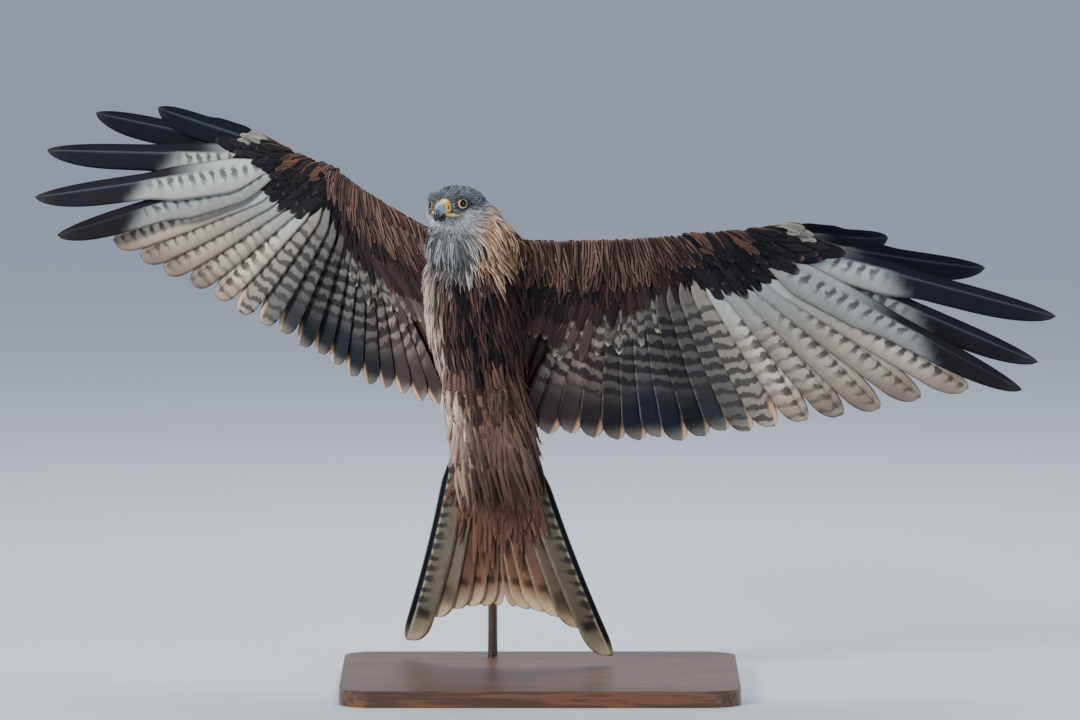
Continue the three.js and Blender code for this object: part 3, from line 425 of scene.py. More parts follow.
def trunk_paint(points, draws):
    """Ground, edge and shaft streak below the head: brown with black shafts, with painted light that turns the right
    flank pale buff and painted shade that darkens the left side.
    """
    along, out, deep = ((points - TORSO_CENTRE) @ axis for axis in (forward, left, back))
    lot, shade = draws[:, 0], draws[:, 1]
    breast = ramp(along + 24 * shade, -88, 22)
    ground = mottled(paint(130, 98, 85), paint(92, 69, 60), ramp(lot, 0.2, 0.9))
    ground = blend(ground, mottled(paint(94, 69, 63), SOOT, ramp(lot + 0.35 * shade, 0.5, 0.9)), breast)
    # Painted shade: the body darkened towards umber on its left side.
    ground = blend(ground, UMBER, ramp(out, 10, 45) * 0.5)
    # Painted light: the right flank turned pale buff where the key light falls, its edges too.
    flank = ramp(-out - 0.2 * np.minimum(along, 0) + 16 * shade, 32, 52) * ramp(-deep, -34, 4)
    ground = blend(ground, mottled(paint(246, 222, 198), paint(116, 90, 76), ramp(lot, 0.6, 0.98)), flank * 0.95)
    edge = mottled(paint(150, 118, 102), paint(104, 78, 68), ramp(shade, 0.15, 0.8))
    edge = blend(edge, blend(ground, paint(126, 98, 88), 0.4), breast * 0.9)
    # Painted light on the feather edges of the right flank.
    edge = blend(edge, paint(250, 230, 208), flank)
    edge = blend(edge, paint(206, 196, 176), ramp(along, 84, 100) * ramp(-deep, 0, 20) * (shade > 0.4))
    shoulder = ramp(out, 22, 38) * ramp(along, 84, 104) * 0.85
    ground = blend(ground, mottled(paint(236, 182, 138), paint(86, 61, 50), ramp(lot, 0.4, 0.85)), shoulder)
    edge = blend(edge, mottled(paint(236, 204, 172), paint(140, 104, 82), ramp(lot, 0.3, 0.8)), shoulder)
    upper = ramp(deep, 10, 30)
    ground = blend(ground, UMBER, upper * 0.7)
    edge = blend(edge, RUFOUS, upper * 0.8)
    return ground, edge, 0.2 + 0.8 * ramp(along, -60, 0) * (1 - 0.55 * flank)


def head_paint(points, draws):
    """Ground, edge and shaft streak of the head: pale grey with dark streaks, the crown darkened to blue-grey as
    painted shade, and a rusty nape.
    """
    off = points - HEAD_CENTRE
    ahead, side, up = (off @ axis for axis in (head_forward, head_left, head_up))
    lot = draws[:, 0]
    cheek = ramp(up, -24, -12) * ramp(-up, -14, -2) * ramp(ahead, -22, 0) * ramp(-ahead, -40, -32)
    cheek = cheek * ramp(np.linalg.norm(off, axis=1), 52, 40)
    dark_share = ramp(lot, 0.3, 0.7) * (0.92 - 0.35 * ramp(ahead, 10, 34)) * (1 - 0.6 * cheek)
    # Painted shade: the crown darkened from pale grey to blue-grey.
    ground = mottled(HEAD_GREY, CROWN_SHADE, ramp(up, -2, 16) * 0.9)
    ground = blend(ground, paint(216, 222, 224), cheek * 0.9)
    ground = blend(ground, paint(36, 38, 42), dark_share)
    # Painted shade in the sockets round both eyes: the feathers there turned almost black.
    eyes = [points - in_head(EYE_AHEAD + 4, s * (EYE_OUT + 2), EYE_UP + EYE_RAISED[s]) for s in (1, -1)]
    near_eye = np.minimum(*(np.linalg.norm(e * (1, 1, 1.25), axis=1) for e in eyes))
    ground = blend(ground, paint(20, 22, 26), ramp(-near_eye, -12, -9.5) * 0.92)
    lores = ramp(ahead, 28, 36) * ramp(np.abs(side), 4, 9) * ramp(up, -4, 2)
    ground = blend(ground, paint(70, 76, 82), lores * 0.6)
    nape = ramp(side - 0.45 * ahead, 10, 34) * ramp(-up, -16, 8)
    ground = blend(ground, mottled(paint(252, 202, 158), paint(78, 55, 46), ramp(lot, 0.55, 0.9)), nape * 0.9)
    # Painted shade on the feather edges as well, pale grey turning blue-grey towards the crown.
    edge = mottled(paint(240, 242, 240), paint(172, 182, 188), ramp(up, 2, 20))
    edge = blend(edge, paint(84, 86, 88), dark_share)
    # Painted shade round the eyes on the feather edges as well.
    edge = blend(edge, paint(24, 27, 31), ramp(-near_eye, -11.5, -9) * 0.9)
    edge = blend(edge, mottled(paint(240, 206, 172), paint(150, 112, 84), ramp(lot, 0.4, 0.8)), nape)
    return ground, edge, (0.45 + 0.45 * ramp(-up, 6, 20)) * (1 - 0.8 * cheek)


def body_paint(points, draws):
    """Ground colour, edge colour and strength of the dark shaft streak of the feathers at some places."""
    along, deep = ((points - TORSO_CENTRE) @ axis for axis in (forward, back))
    below_head = ramp(deep, -12, 14) * (1 - ramp(np.linalg.norm(points - HEAD_CENTRE, axis=1), 50, 38))
    headness = ramp(along + 10 * draws[:, 2], 96, 122) * (1 - below_head)
    trunk, head = trunk_paint(points, draws), head_paint(points, draws)
    ground, edge = (blend(trunk[k], head[k], headness) for k in (0, 1))
    return ground, edge, trunk[2] + (head[2] - trunk[2]) * headness


class Wire:
    """A socket to reckon with: sums and products of wires and numbers add their Math nodes."""

    def __init__(self, tree, socket=None):
        self.tree, self.socket = tree, socket

    def node(self, kind, settings=None, values=None, out=0):
        made = self.tree.nodes.new(kind)
        for name, value in (settings or {}).items():
            if name == "stops":
                stops = made.color_ramp.elements
                for place, _ in value[1:-1]:
                    stops.new(place)
                for stop, (place, colour) in zip(stops, value):
                    stop.position, stop.color = place, (*colour, 1)
            else:
                setattr(made, name, value)
        for name, value in (values or {}).items():
            if isinstance(value, Wire):
                self.tree.links.new(value.socket, made.inputs[name])
            else:
                made.inputs[name].default_value = value
        return Wire(self.tree, made.outputs[out])

    def math(self, operation, *values):
        return self.node("ShaderNodeMath", {"operation": operation}, dict(enumerate(values)))

    def __add__(self, other):
        return self.math("ADD", self, other)

    def __sub__(self, other):
        return self.math("SUBTRACT", self, other)

    def __mul__(self, other):
        return self.math("MULTIPLY", self, other)

    def __rsub__(self, other):
        return self.math("SUBTRACT", other, self)

    __radd__, __rmul__ = __add__, __mul__

    def attribute(self, name, out=0):
        return self.node("ShaderNodeAttribute", {"attribute_name": name}, out=out)

    def mapped(self, scale):
        """Object coordinates, stretched."""
        place = self.node("ShaderNodeTexCoord", out=3)
        return self.node("ShaderNodeMapping", None, {"Vector": place, "Scale": scale})

    def noise(self, scale, detail=2, place=None):
        """Noise over object coordinates, or over some other place."""
        place = place or self.node("ShaderNodeTexCoord", out=3)
        return self.node("ShaderNodeTexNoise", None, {"Vector": place, "Scale": scale, "Detail": detail})

    def size(self):
        return self.math("ABSOLUTE", self)

    def either(self, other):
        return self.math("MAXIMUM", self, other)

    def eased(self, low, high):
        """0 below one value, 1 above another."""
        return self.node("ShaderNodeMapRange", {"interpolation_type": "SMOOTHSTEP"},
                         {"Value": self, "From Min": low, "From Max": high})

    def tinted(self, colour, other):
        """One colour where this is 0, and another where it is 1."""
        first, second = ((c if isinstance(c, Wire) else (*c, 1)) for c in (colour, other))
        return self.node("ShaderNodeMix", {"data_type": "RGBA"}, {0: self, 6: first, 7: second}, out=2)


def finish(name, **constants):
    """A new material with some of its shader's own sockets set."""
    made = bpy.data.materials.new(name)
    made.use_nodes = True
    shader = made.node_tree.nodes["Principled BSDF"]
    for socket, value in constants.items():
        shader.inputs[socket.replace("_", " ")].default_value = value
    return made, shader, Wire(made.node_tree)


def joined(wire, shader, socket, bump=None, strength=0.3, distance=0.0005):
    """Leads a wire to a socket of the shader, and another as relief to its normal."""
    wire.tree.links.new(wire.socket, shader.inputs[socket])
    if bump is not None:
        relief = wire.node("ShaderNodeBump", None, {"Strength": strength, "Distance": distance, "Height": bump})
        wire.tree.links.new(relief.socket, shader.inputs["Normal"])


skin_finish, shader, wire = finish("downy_skin", Roughness=0.9, Sheen_Weight=0.1)
down = wire.noise(420, 3)
ground = wire.attribute("Ground")
joined((down * 0.5).tinted(ground, paint(30, 24, 24)), shader, "Base Color", down, 0.6, 0.001)
skin_upright = upright(skin_points)
skin_ground = body_paint(skin_upright, np.full((len(skin_points), 3), 0.5))[0]
layer = skin.data.color_attributes.new("Ground", "FLOAT_COLOR", "POINT")
layer.data.foreach_set("color", np.column_stack([skin_ground * 0.6, np.ones(len(skin_ground))]).ravel())
skin.data.materials.append(skin_finish)
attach(skin, "root")
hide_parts("torso", "neck", "head", "leg_left", "leg_right", "wing_left_arm", "wing_left_hand",
            "wing_right_arm", "wing_right_hand", "alula_left", "alula_right", "tail")


# The small feathers of head, neck, body and thighs. Thin blades of horn that grow in rows from the bill
# back to the tail, each lying over the root of the next, with a dark shaft streak and a paler edge.
PATCH_WIDTH, PATCH_LENGTH = 0.0014, 0.003


def blades(centre, side, up, webs, share, half, samples, cup=0.0, ridge=0.0):
    """Rings of points round many thin blades: centre, side and up are (blade, step) arrays of directions,
    webs the reach to each side, share the breadth at each step, and half the half thickness."""
    top = np.array(samples)
    round_blade = np.concatenate([top, top[-2:0:-1]])
    face = np.concatenate([np.ones(len(top)), -np.ones(len(top) - 2)])
    face[[0, len(top) - 1]] = 0
    reach = np.where(round_blade > 0, webs[:, None, None, 0], webs[:, None, None, 1]) * round_blade
    reach = reach * share[:, :, None]
    shaft = np.exp(-(round_blade / 0.07) ** 2) * ridge
    shaft = shaft * (1 - np.linspace(0, 1, share.shape[1]) ** 2)[None, :, None]
    high = face * (half[:, :, None] * (1 - 0.6 * round_blade ** 2) + shaft)
    high = high - cup * np.abs(reach) * np.abs(round_blade)
    rings = centre[:, :, None] + reach[..., None] * side[:, :, None] + high[..., None] * up[:, :, None]
    return rings, round_blade


def plumage(name, rings, across, along, lengths, webs, bake, ground, edge, marks, material):
    """One mesh from the rings of many feathers, with the maps and attributes that their finish reads."""
    count, steps, around, _ = rings.shape
    centre = rings.mean((1, 2), keepdims=True)
    a = rings[:, :-1] - centre
    b = rings[:, 1:] - centre
    c = np.roll(b, -1, axis=2)
    volume = (a * np.cross(b, c)).sum((1, 2, 3))
    shape = (count, steps, around)
    flipped = volume < 0

    def turned_out(values):
        """Values for every corner of every ring, in the order that lets the faces point outwards."""
        wide = max(around, values.shape[2])
        values = np.broadcast_to(values, (count, steps, wide, values.shape[3])).copy()
        values[flipped] = values[flipped][:, :, ::-1]
        return values

    rings = turned_out(rings)
    across = turned_out(np.broadcast_to(across, shape)[..., None])[..., 0]
    along = np.broadcast_to(along[..., None], shape)
    index = np.arange(count * steps * around).reshape(shape)
    seam = np.arange(count * steps * (around + 1)).reshape(count, steps, around + 1)

    def faces(grid, after):
        near, far, near_next, far_next = grid[:, :-1], grid[:, 1:], after[:, :-1], after[:, 1:]
        quads = np.stack([near, far, far_next, near_next], -1).ravel()
        return np.concatenate([quads, grid[:, 0].ravel(), grid[:, -1, ::-1].ravel()]).astype(np.int32)

    corners = faces(index, np.roll(index, -1, 2))
    map_corners = faces(seam[:, :, :-1], seam[:, :, 1:])
    quad_count = count * (steps - 1) * around
    sizes = np.concatenate([np.full(quad_count, 4), np.full(2 * count, around)]).astype(np.int32)
    data = bpy.data.meshes.new(name)
    data.vertices.add(index.size)
    data.vertices.foreach_set("co", placed(rings.reshape(-1, 3)).ravel())
    data.loops.add(len(corners))
    data.loops.foreach_set("vertex_index", corners)
    data.polygons.add(len(sizes))
    data.polygons.foreach_set("loop_start", np.concatenate([[0], np.cumsum(sizes)[:-1]]).astype(np.int32))
    data.polygons.foreach_set("loop_total", sizes)
    data.polygons.foreach_set("use_smooth", np.ones(len(sizes), bool))
    web = np.where(across > 0, webs[:, None, None, 0], webs[:, None, None, 1])
    maps = {
        "Barbs": np.stack([(across + 1) / 2, along], -1),
        "Reach": np.stack([across * web * MM, along * lengths[:, None, None] * MM], -1),
        "OFBake": turned_out(bake),
    }
    for title, values in maps.items():
        if values.shape[2] == around:
            values = np.concatenate([values, values[:, :, :1]], 2)
        data.uv_layers.new(name=title).data.foreach_set(
            "uv", values.reshape(-1, 2)[map_corners].ravel().astype(np.float32))
    for title, values in {"Ground": ground, "Edge": edge, "Marks": marks}.items():
        values = turned_out(values).reshape(-1, 3)
        full = np.column_stack([values, np.ones(len(values))]).astype(np.float32)
        data.color_attributes.new(title, "FLOAT_COLOR", "POINT").data.foreach_set("color", full.ravel())
    data.update(calc_edges=True)
    data.validate()
    data.materials.append(material)
    piece = new_piece(name, data)
    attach(piece, "root")


def tufts(name, centre, side, up, lengths, widths, shape, half, samples, cup, bake, colours, material):
    """Many small feathers of one outline along given lines, each baked to a small patch of its own."""
    size = centre.shape[:2]
    at = np.broadcast_to([t for t, _ in shape], size)
    share = np.broadcast_to([s for _, s in shape], size)
    webs = np.stack([widths, widths], 1)
    rings, across = blades(centre, side, up, webs, share, np.full(size, half), samples, cup=cup)
    patch = bake[:, None, None] + np.stack(np.broadcast_arrays(
        across[None, None] * PATCH_WIDTH, at[:, :, None] * PATCH_LENGTH), -1)
    ground, edge, marks = (c[:, None, None] for c in colours)
    plumage(name, rings, across, at, lengths, webs, patch, ground, edge, marks, material)


def sown(stations, gap_along, gap_round, seed):
    """Places in rows round a part of the body, each row set off from the last, with their bake places."""
    draw = np.random.default_rng(seed)
    table = np.array([np.concatenate([s[0], s[1], s[2], s[3:]]) for s in stations])
    run = np.concatenate([[0], np.cumsum(np.linalg.norm(np.diff(table[:, :3], axis=0), axis=1))])
    places, bake = [], []
    for k, at in enumerate(np.arange(gap_along / 2, run[-1], gap_along)):
        row = np.array([np.interp(at, run, column) for column in table.T])
        width, above, below = row[9:]
        count = int(math.pi * (width + (above + below) / 2) / gap_round)
        angle = (np.arange(count) + (k % 2) / 2 + draw.uniform(-0.3, 0.3, count)) * 2 * math.pi / count
        height = np.where(np.sin(angle) > 0, above, below) * np.sin(angle)
        shift = draw.uniform(-0.35, 0.35, count) * gap_along
        points = row[:3] + np.outer(width * np.cos(angle), row[3:6]) + np.outer(height, row[6:9])
        places.append(points + np.outer(shift, unit(table[-1, :3] - table[0, :3])))
        bake.append(np.column_stack([(angle / (2 * math.pi)) % 1, np.full(count, at / run[-1])]))
    return np.concatenate(places), np.concatenate(bake) * 0.96 + 0.02


bill_root = in_head(54, 0, 3)
neck_run = unit(TORSO_CENTRE + forward * TORSO_GIRTHS[0][0] - HEAD_CENTRE)


def lie(points):
    """The way the coat lies: back from the bill over the head, down the neck and along the body."""
    off = points - HEAD_CENTRE
    distance = np.linalg.norm(off, axis=1)
    head_share = ramp(distance, 62, 34)
    along = (points - TORSO_CENTRE) @ forward
    neck_share = ramp(along, 78, 112)
    trunk = unit(blend(np.broadcast_to(-forward, points.shape), neck_run, neck_share))
    return unit(blend(trunk, unit(points - bill_root), head_share * 0.92))


def combed(points, lengths, steps, root_depth, tip_height, curl):
    """Centre lines that run from places on the skin along the lie of the coat, rising slowly off the skin."""
    place, normal = on_skin(points)
    centre, sides, ups = [], [], []
    for k in range(steps + 1):
        t = k / steps
        run = square_to(lie(place), normal)
        height = -root_depth + (tip_height + root_depth) * t ** 0.75
        centre.append(place + normal * height[:, None])
        sides.append(unit(np.cross(run, normal)))
        ups.append(normal)
        if k < steps:
            place, normal = on_skin(place + run * (lengths / steps)[:, None] + sides[-1] * (curl / steps)[:, None])
    return np.stack(centre, 1), np.stack(sides, 1), np.stack(ups, 1)


def close(points, gap):
    """Which places lie within a gap of the skin."""
    return np.linalg.norm(on_skin(points)[0] - points, axis=1) < gap


def clear_of_eyes(points, sides=(1, -1)):
    """Which places lie outside the bare rings round the eyes."""
    sockets = [in_head(EYE_AHEAD + 3, side * (EYE_OUT + 4), EYE_UP + EYE_RAISED[side]) for side in sides]
    return np.all([np.linalg.norm(points - socket, axis=1) > EYE_BARE for socket in sockets], axis=0)


LANCET = ((0, 0.3), (0.12, 0.75), (0.32, 1), (0.58, 0.92), (0.8, 0.6), (0.93, 0.28), (1, 0.04))
SMALL_SAMPLES = (-1, 0, 1)
SMALL_HALF = 0.22


def coat(name, points, bake, lengths, widths, seed, material, tip_height, root_depth=1.2, curl=0.06):
    """A coat of small feathers combed over the skin from given places."""
    draw = np.random.default_rng(seed)
    count = len(points)
    steps = len(LANCET) - 1
    lengths = lengths * draw.uniform(0.8, 1.2, count)
    widths = widths * draw.uniform(0.8, 1.2, count)
    centre, side, up = combed(points, lengths, steps, root_depth, tip_height * draw.uniform(0.6, 1.5, count),
                              draw.normal(0, curl, count) * lengths)
    draws = draw.uniform(0, 1, (count, 3))
    ground, edge, streak = body_paint(centre[:, 0], draws)
    marks = np.column_stack([np.zeros(count), streak, draws[:, 2]])
    tufts(name, centre, side, up, lengths, widths, LANCET, SMALL_HALF, SMALL_SAMPLES, 0.12, bake,
          (ground, edge, marks), material)


def feather_finish(name, streak, streak_width, fringe, roughness, bar=None, bar_gap=0.017):
    """Feather finish: ground and edge colour, a streak along the shaft, bars across, and fine barbs."""
    made, shader, wire = finish(name, Roughness=roughness, Specular_IOR_Level=0.1)
    barbs = wire.node("ShaderNodeUVMap", {"uv_map": "Barbs"})
    reach = wire.node("ShaderNodeUVMap", {"uv_map": "Reach"})
    ground, edge, marks = wire.attribute("Ground"), wire.attribute("Edge"), wire.attribute("Marks")

    def part(vector, k):
        return vector.node("ShaderNodeSeparateXYZ", None, {0: vector}, out=k)

    across, along = part(barbs, 0), part(barbs, 1)
    out, down = part(reach, 0), part(reach, 1)
    side, wide = (across * 2 - 1).size(), out.size()
    lot = part(marks, 2)
    slant = down - wide * 0.9
    comb = wire.node("ShaderNodeCombineXYZ", None, {0: slant * 1500, 1: wide * 160, 2: lot * 40})
    strands = wire.noise(1, 2, comb)
    drift = wire.node("ShaderNodeCombineXYZ", None, {0: down * 75, 1: out * 90, 2: lot * 90})
    cloud = wire.noise(1, 3, drift)
    fringed = (side + strands * 0.3 - 0.15).eased(fringe, 1.0)
    tipped = (along + strands * 0.08).eased(0.94, 1.05)
    colour = fringed.either(tipped).tinted(ground, edge)
    if bar is not None:
        wave = wire.math("SINE", (down + wide * 0.3 + cloud * 0.018 + lot * bar_gap) * (2 * math.pi / bar_gap))
        strength = part(marks, 0)
        barred = (wave + strength * 1.0 + cloud * 2.2 - 2.05 + strands * 0.5).eased(-0.35, 0.6)
        colour = (barred * strength.eased(0, 0.9) * 0.85).tinted(colour, bar)
    streaked = (1 - (side + strands * 0.16).eased(streak_width * 0.45, streak_width)) * part(marks, 1)
    colour = (streaked * (1 - along.eased(0.93, 1.0))).tinted(colour, streak)
    light = strands * 0.5 + cloud * 0.5 + lot * 0.35 + 0.32
    grey = wire.node("ShaderNodeCombineXYZ", None, {0: light, 1: light, 2: light})
    colour = wire.node("ShaderNodeVectorMath", {"operation": "MULTIPLY"}, {0: colour, 1: grey})
    joined(colour, shader, "Base Color", strands, 0.35, 0.0004)
    return made


body_finish = feather_finish("body_feather", paint(15, 13, 17), 0.5, 0.6, 0.7)
head_finish = feather_finish("head_feather", paint(34, 36, 42), 0.5, 0.45, 0.75)

EYE_BARE = 8.4
stations = torso_stations(40)[::-1] + neck_stations(24)[1:8]
places, bake = sown(stations, 12, 7.5, 3)
near = close(places, COAT_DEPTH["torso"] + 4)
places, bake = places[near], bake[near]
order = np.argsort((places - TORSO_CENTRE) @ forward)
half_way = len(order) // 2
for name, chosen, seed in (("belly_coat", order[:half_way], 11), ("breast_coat", order[half_way:], 12)):
    fine = ramp(-((places[chosen] - TORSO_CENTRE) @ forward), 30, 90)
    coat(name, places[chosen], bake[chosen], 46 + 8 * fine, 4.9 - 1.3 * fine, seed, body_finish, 4.0,
         curl=0.1)
for name, side in (("thigh_coat_left", 1), ("thigh_coat_right", -1)):
    places, bake = sown(thigh_stations(16, side)[1:], 8, 4.6, 5 + side)
    coat(name, places, bake, np.full(len(places), 44.0), np.full(len(places), 3.2), 21, body_finish,
         3.4, curl=0.1)
places, bake = sown(mantle_stations(24), 7, 5, 35)
near = close(places, 3)
coat("mantle_coat", places[near], bake[near], np.full(near.sum(), 30.0), np.full(near.sum(), 3.2), 36, body_finish,
     3.6, curl=0.12)
places, bake = sown(neck_stations(24)[:19], 5, 4.2, 31)
near = close(places, COAT_DEPTH["neck"] + 4)
coat("neck_coat", places[near], bake[near], np.full(near.sum(), 32.0), np.full(near.sum(), 2.5), 32, head_finish,
     4.0, curl=0.09)
places, bake = sown(head_stations(40)[::-1], 2.5, 2.0, 41)
near = close(places, COAT_DEPTH["head"] + 3.5) & clear_of_eyes(places)
places, bake = places[near], bake[near]
for side in (1, -1):
    ridge, ridge_bake = sown(brow_stations(16, side)[::-1], 2.2, 1.8, 43)
    near = close(ridge, 1.5) & clear_of_eyes(ridge, (side,))
    places, bake = np.concatenate([places, ridge[near]]), np.concatenate([bake, ridge_bake[near]])
face = ramp((places - HEAD_CENTRE) @ head_forward, 0, 34)
coat("head_coat", places, bake, 16 - 9.5 * face, 1.25 - 0.35 * face, 42, head_finish, 2.0,
     root_depth=0.5)


# The eyes. Glossy balls of amber glass with a black pupil, set into the skull so that only the front shows,
# each behind a dark ring of bare lid.
EYE_RADIUS = 8.5
EYE_SET_BACK = 1.2
LID_RADIUS = 7.3
LID_THICKNESS = 1.5
EYE_TOE_OUT = 48 * DEG
EYE_TIP_UP = 9 * DEG


def eye_facing(side):
    level = head_forward * math.cos(EYE_TOE_OUT) + head_left * side * math.sin(EYE_TOE_OUT)
    return level * math.cos(EYE_TIP_UP) + head_up * math.sin(EYE_TIP_UP)


def facing_matrix(centre, facing):
    """A matrix that takes the Z axis to a direction at a place, both upright, in millimetres."""
    turn = Vector(lean @ facing).to_track_quat("Z", "Y").to_matrix().to_4x4()
    return Matrix.Translation(placed(centre)) @ turn


def smooth_shaded(piece):
    piece.data.polygons.foreach_set("use_smooth", np.ones(len(piece.data.polygons), bool))
    return piece


eye_finish, shader, wire = finish("eye_glass", Roughness=0.12, Specular_IOR_Level=0.35)
rim = wire.attribute("Rim", 2)
fibres = wire.noise(900)
joined(wire.node("ShaderNodeValToRGB", {"stops": [
    (0.0, (0.001, 0.001, 0.001)), (0.41, (0.001, 0.001, 0.001)), (0.44, paint(112, 88, 44)),
    (0.48, paint(186, 174, 130)), (0.55, paint(214, 202, 158)), (0.59, paint(110, 90, 50)),
    (0.62, paint(14, 13, 14)), (1.0, paint(10, 10, 11))]}, {0: rim * 0.1 + fibres * 0.03 - 0.015}),
    shader, "Base Color")
lid_finish, shader, wire = finish("lid_skin", Roughness=0.55)
grain = wire.noise(1600)
joined(grain.tinted(paint(12, 13, 15), paint(40, 41, 42)), shader, "Base Color", grain, 0.5, 0.0003)
for name, side in (("left", 1), ("right", -1)):
    facing = eye_facing(side)
    centre = in_head(EYE_AHEAD, side * EYE_OUT, EYE_UP + EYE_RAISED[side]) - facing * EYE_SET_BACK
    ball = bmesh.new()
    bmesh.ops.create_uvsphere(ball, u_segments=48, v_segments=32, radius=EYE_RADIUS * MM,
                              matrix=facing_matrix(centre, facing))
    piece = smooth_shaded(new_piece("eyeball_" + name, ball))
    off = upright([v.co for v in piece.data.vertices]) - centre
    ahead = off @ facing
    apart = np.linalg.norm(off - np.outer(ahead, facing), axis=1)
    apart = np.where(ahead > 0, apart, 2 * EYE_RADIUS - apart)
    piece.data.attributes.new("Rim", "FLOAT", "POINT").data.foreach_set("value", apart.astype(np.float32))
    piece.data.materials.append(eye_finish)
    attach(piece, "root")
    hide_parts("eye_" + name)
    lid = bmesh.new()
    set_out = math.sqrt(EYE_RADIUS ** 2 - LID_RADIUS ** 2) + 0.5
    stand = facing_matrix(centre + facing * set_out, facing)
    profile = bmesh.ops.create_circle(
        lid, segments=10, radius=LID_THICKNESS * MM,
        matrix=stand @ Matrix.Translation((LID_RADIUS * MM, 0, 0)) @ Matrix.Rotation(math.pi / 2, 4, "X"))["verts"]
    bmesh.ops.spin(lid, geom=profile + list({e for v in profile for e in v.link_edges}), cent=stand.translation,
                   axis=stand.to_3x3() @ Vector((0, 0, 1)), angle=2 * math.pi, steps=48, use_merge=True)
    bmesh.ops.recalc_face_normals(lid, faces=lid.faces)
    piece = smooth_shaded(new_piece("lid_" + name, lid))
    piece.data.materials.append(lid_finish)
    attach(piece, "root")


# The bill. A bare yellow cere with two nostrils, a slate-blue hooked upper half with a black tip, a short
# lower half, and a fleshy orange corner that runs back under each eye.
CERE_START, CERE_END = 38, 50
BILL_MIDDLE = 8
CERE_GIRTHS = [(0, 10.6, 11.6, 6.5), (0.5, 9.2, 10.8, 5.8), (1, 8.1, 10.1, 5.1)]
HOOK_LENGTH, HOOK_TURN = 15, 84 * DEG
HOOK_GIRTHS = [(0, 6.9, 9.6, 4.6), (0.35, 5.4, 8.4, 5), (0.7, 3.4, 5.6, 5), (0.9, 1.7, 2.9, 2.8), (1, 0.6, 1.1, 1.1)]
LOWER_GIRTHS = [(0, 7.8, 1.6, 6.8), (0.5, 6.6, 1.4, 5.4), (0.85, 4.4, 1, 3.4), (1, 2, 0.5, 1.4)]
LOWER_LENGTH = 19
NOSTRIL_PLACE, NOSTRIL_RADIUS = (46, 8.4, 11), 2.3
GAPE_PATH = ((50, 7.2, 3.4, 1.3), (44, 10.4, 2.4, 1.9), (36, 17, 2, 1.8), (29, 22.4, 2.8, 1.4), (24, 25.4, 4, 0.6))


def pit(mesh, side, sunk, shape, segments, rings):
    """An oval in one nostril's place."""
    ahead, out, up = NOSTRIL_PLACE
    seat = facing_matrix(in_head(ahead, side * (out - sunk), up), head_left * side)
    bmesh.ops.create_uvsphere(mesh, u_segments=segments, v_segments=rings, radius=NOSTRIL_RADIUS * MM,
                              matrix=seat @ Matrix.Diagonal((*shape, 1)))


cere = bmesh.new()
loft(cere, [girth((in_head(CERE_START + (CERE_END - CERE_START) * place, 0, BILL_MIDDLE), head_left, head_up,
                   width, above, below), 36) for place, width, above, below in eased(CERE_GIRTHS, 8)])
bmesh.ops.recalc_face_normals(cere, faces=cere.faces)
cere = new_piece("cere_skin", cere)
for side in (1, -1):
    cutter = bmesh.new()
    pit(cutter, side, 0, (0.7, 1.15, 1), 20, 14)
    cutter = new_piece("nostril_cutter", cutter)
    cut = cere.modifiers.new("nostril", "BOOLEAN")
    cut.object, cut.operation, cut.solver = cutter, "DIFFERENCE", "EXACT"
    settled(cere)
    bpy.data.objects.remove(cutter)
smooth_shaded(cere)
cere_finish, shader, wire = finish("cere_wax", Roughness=0.42, Subsurface_Weight=0.1, Subsurface_Scale=0.002)
grain, blush = wire.noise(700, 3), wire.noise(120)
joined(blush.eased(0.35, 0.7).tinted(grain.tinted(paint(226, 178, 66), paint(250, 222, 120)), paint(232, 164, 70)),
       shader, "Base Color", grain, 0.4, 0.0004)
cere.data.materials.append(cere_finish)
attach(cere, "root")
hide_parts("cere")

nostrils = bmesh.new()
for side in (1, -1):
    pit(nostrils, side, 0.9, (0.5, 0.95, 0.6), 16, 10)
nostrils = smooth_shaded(new_piece("nostrils", nostrils))
nostrils.data.materials.append(lid_finish)
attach(nostrils, "root")

gape = bmesh.new()
for side in (1, -1):
    rings = []
    for ahead, out, up, radius in eased(GAPE_PATH, 12):
        rings.append(girth((in_head(ahead, side * out, up), head_up, square_to(head_left * side, head_up),
                            radius, radius, radius), 12))
    loft(gape, rings)
bmesh.ops.recalc_face_normals(gape, faces=gape.faces)
gape = smooth_shaded(new_piece("gape_corners", gape))
gape.data.materials.append(cere_finish)
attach(gape, "root")

horn_finish, shader, wire = finish("bill_horn", Roughness=0.28, Coat_Weight=0.3, Coat_Roughness=0.2)
tip, growth = wire.attribute("Tip", 2), wire.noise(260, 4)
slate = growth.tinted(paint(168, 190, 212), paint(96, 113, 134))
joined((tip + growth * 0.3 - 0.15).eased(0.35, 0.72).tinted(slate, paint(18, 19, 22)), shader, "Base Color",
       growth, 0.25, 0.0003)


def horn(name, rings, tips, replaced):
    mesh = bmesh.new()
    loft(mesh, rings)
    bmesh.ops.recalc_face_normals(mesh, faces=mesh.faces)
    piece = smooth_shaded(new_piece(name, mesh))
    shades = np.repeat(tips, len(rings[0])).astype(np.float32)
    piece.data.attributes.new("Tip", "FLOAT", "POINT").data.foreach_set("value", shades)
    piece.data.materials.append(horn_finish)
    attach(piece, "root")
    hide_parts(replaced)


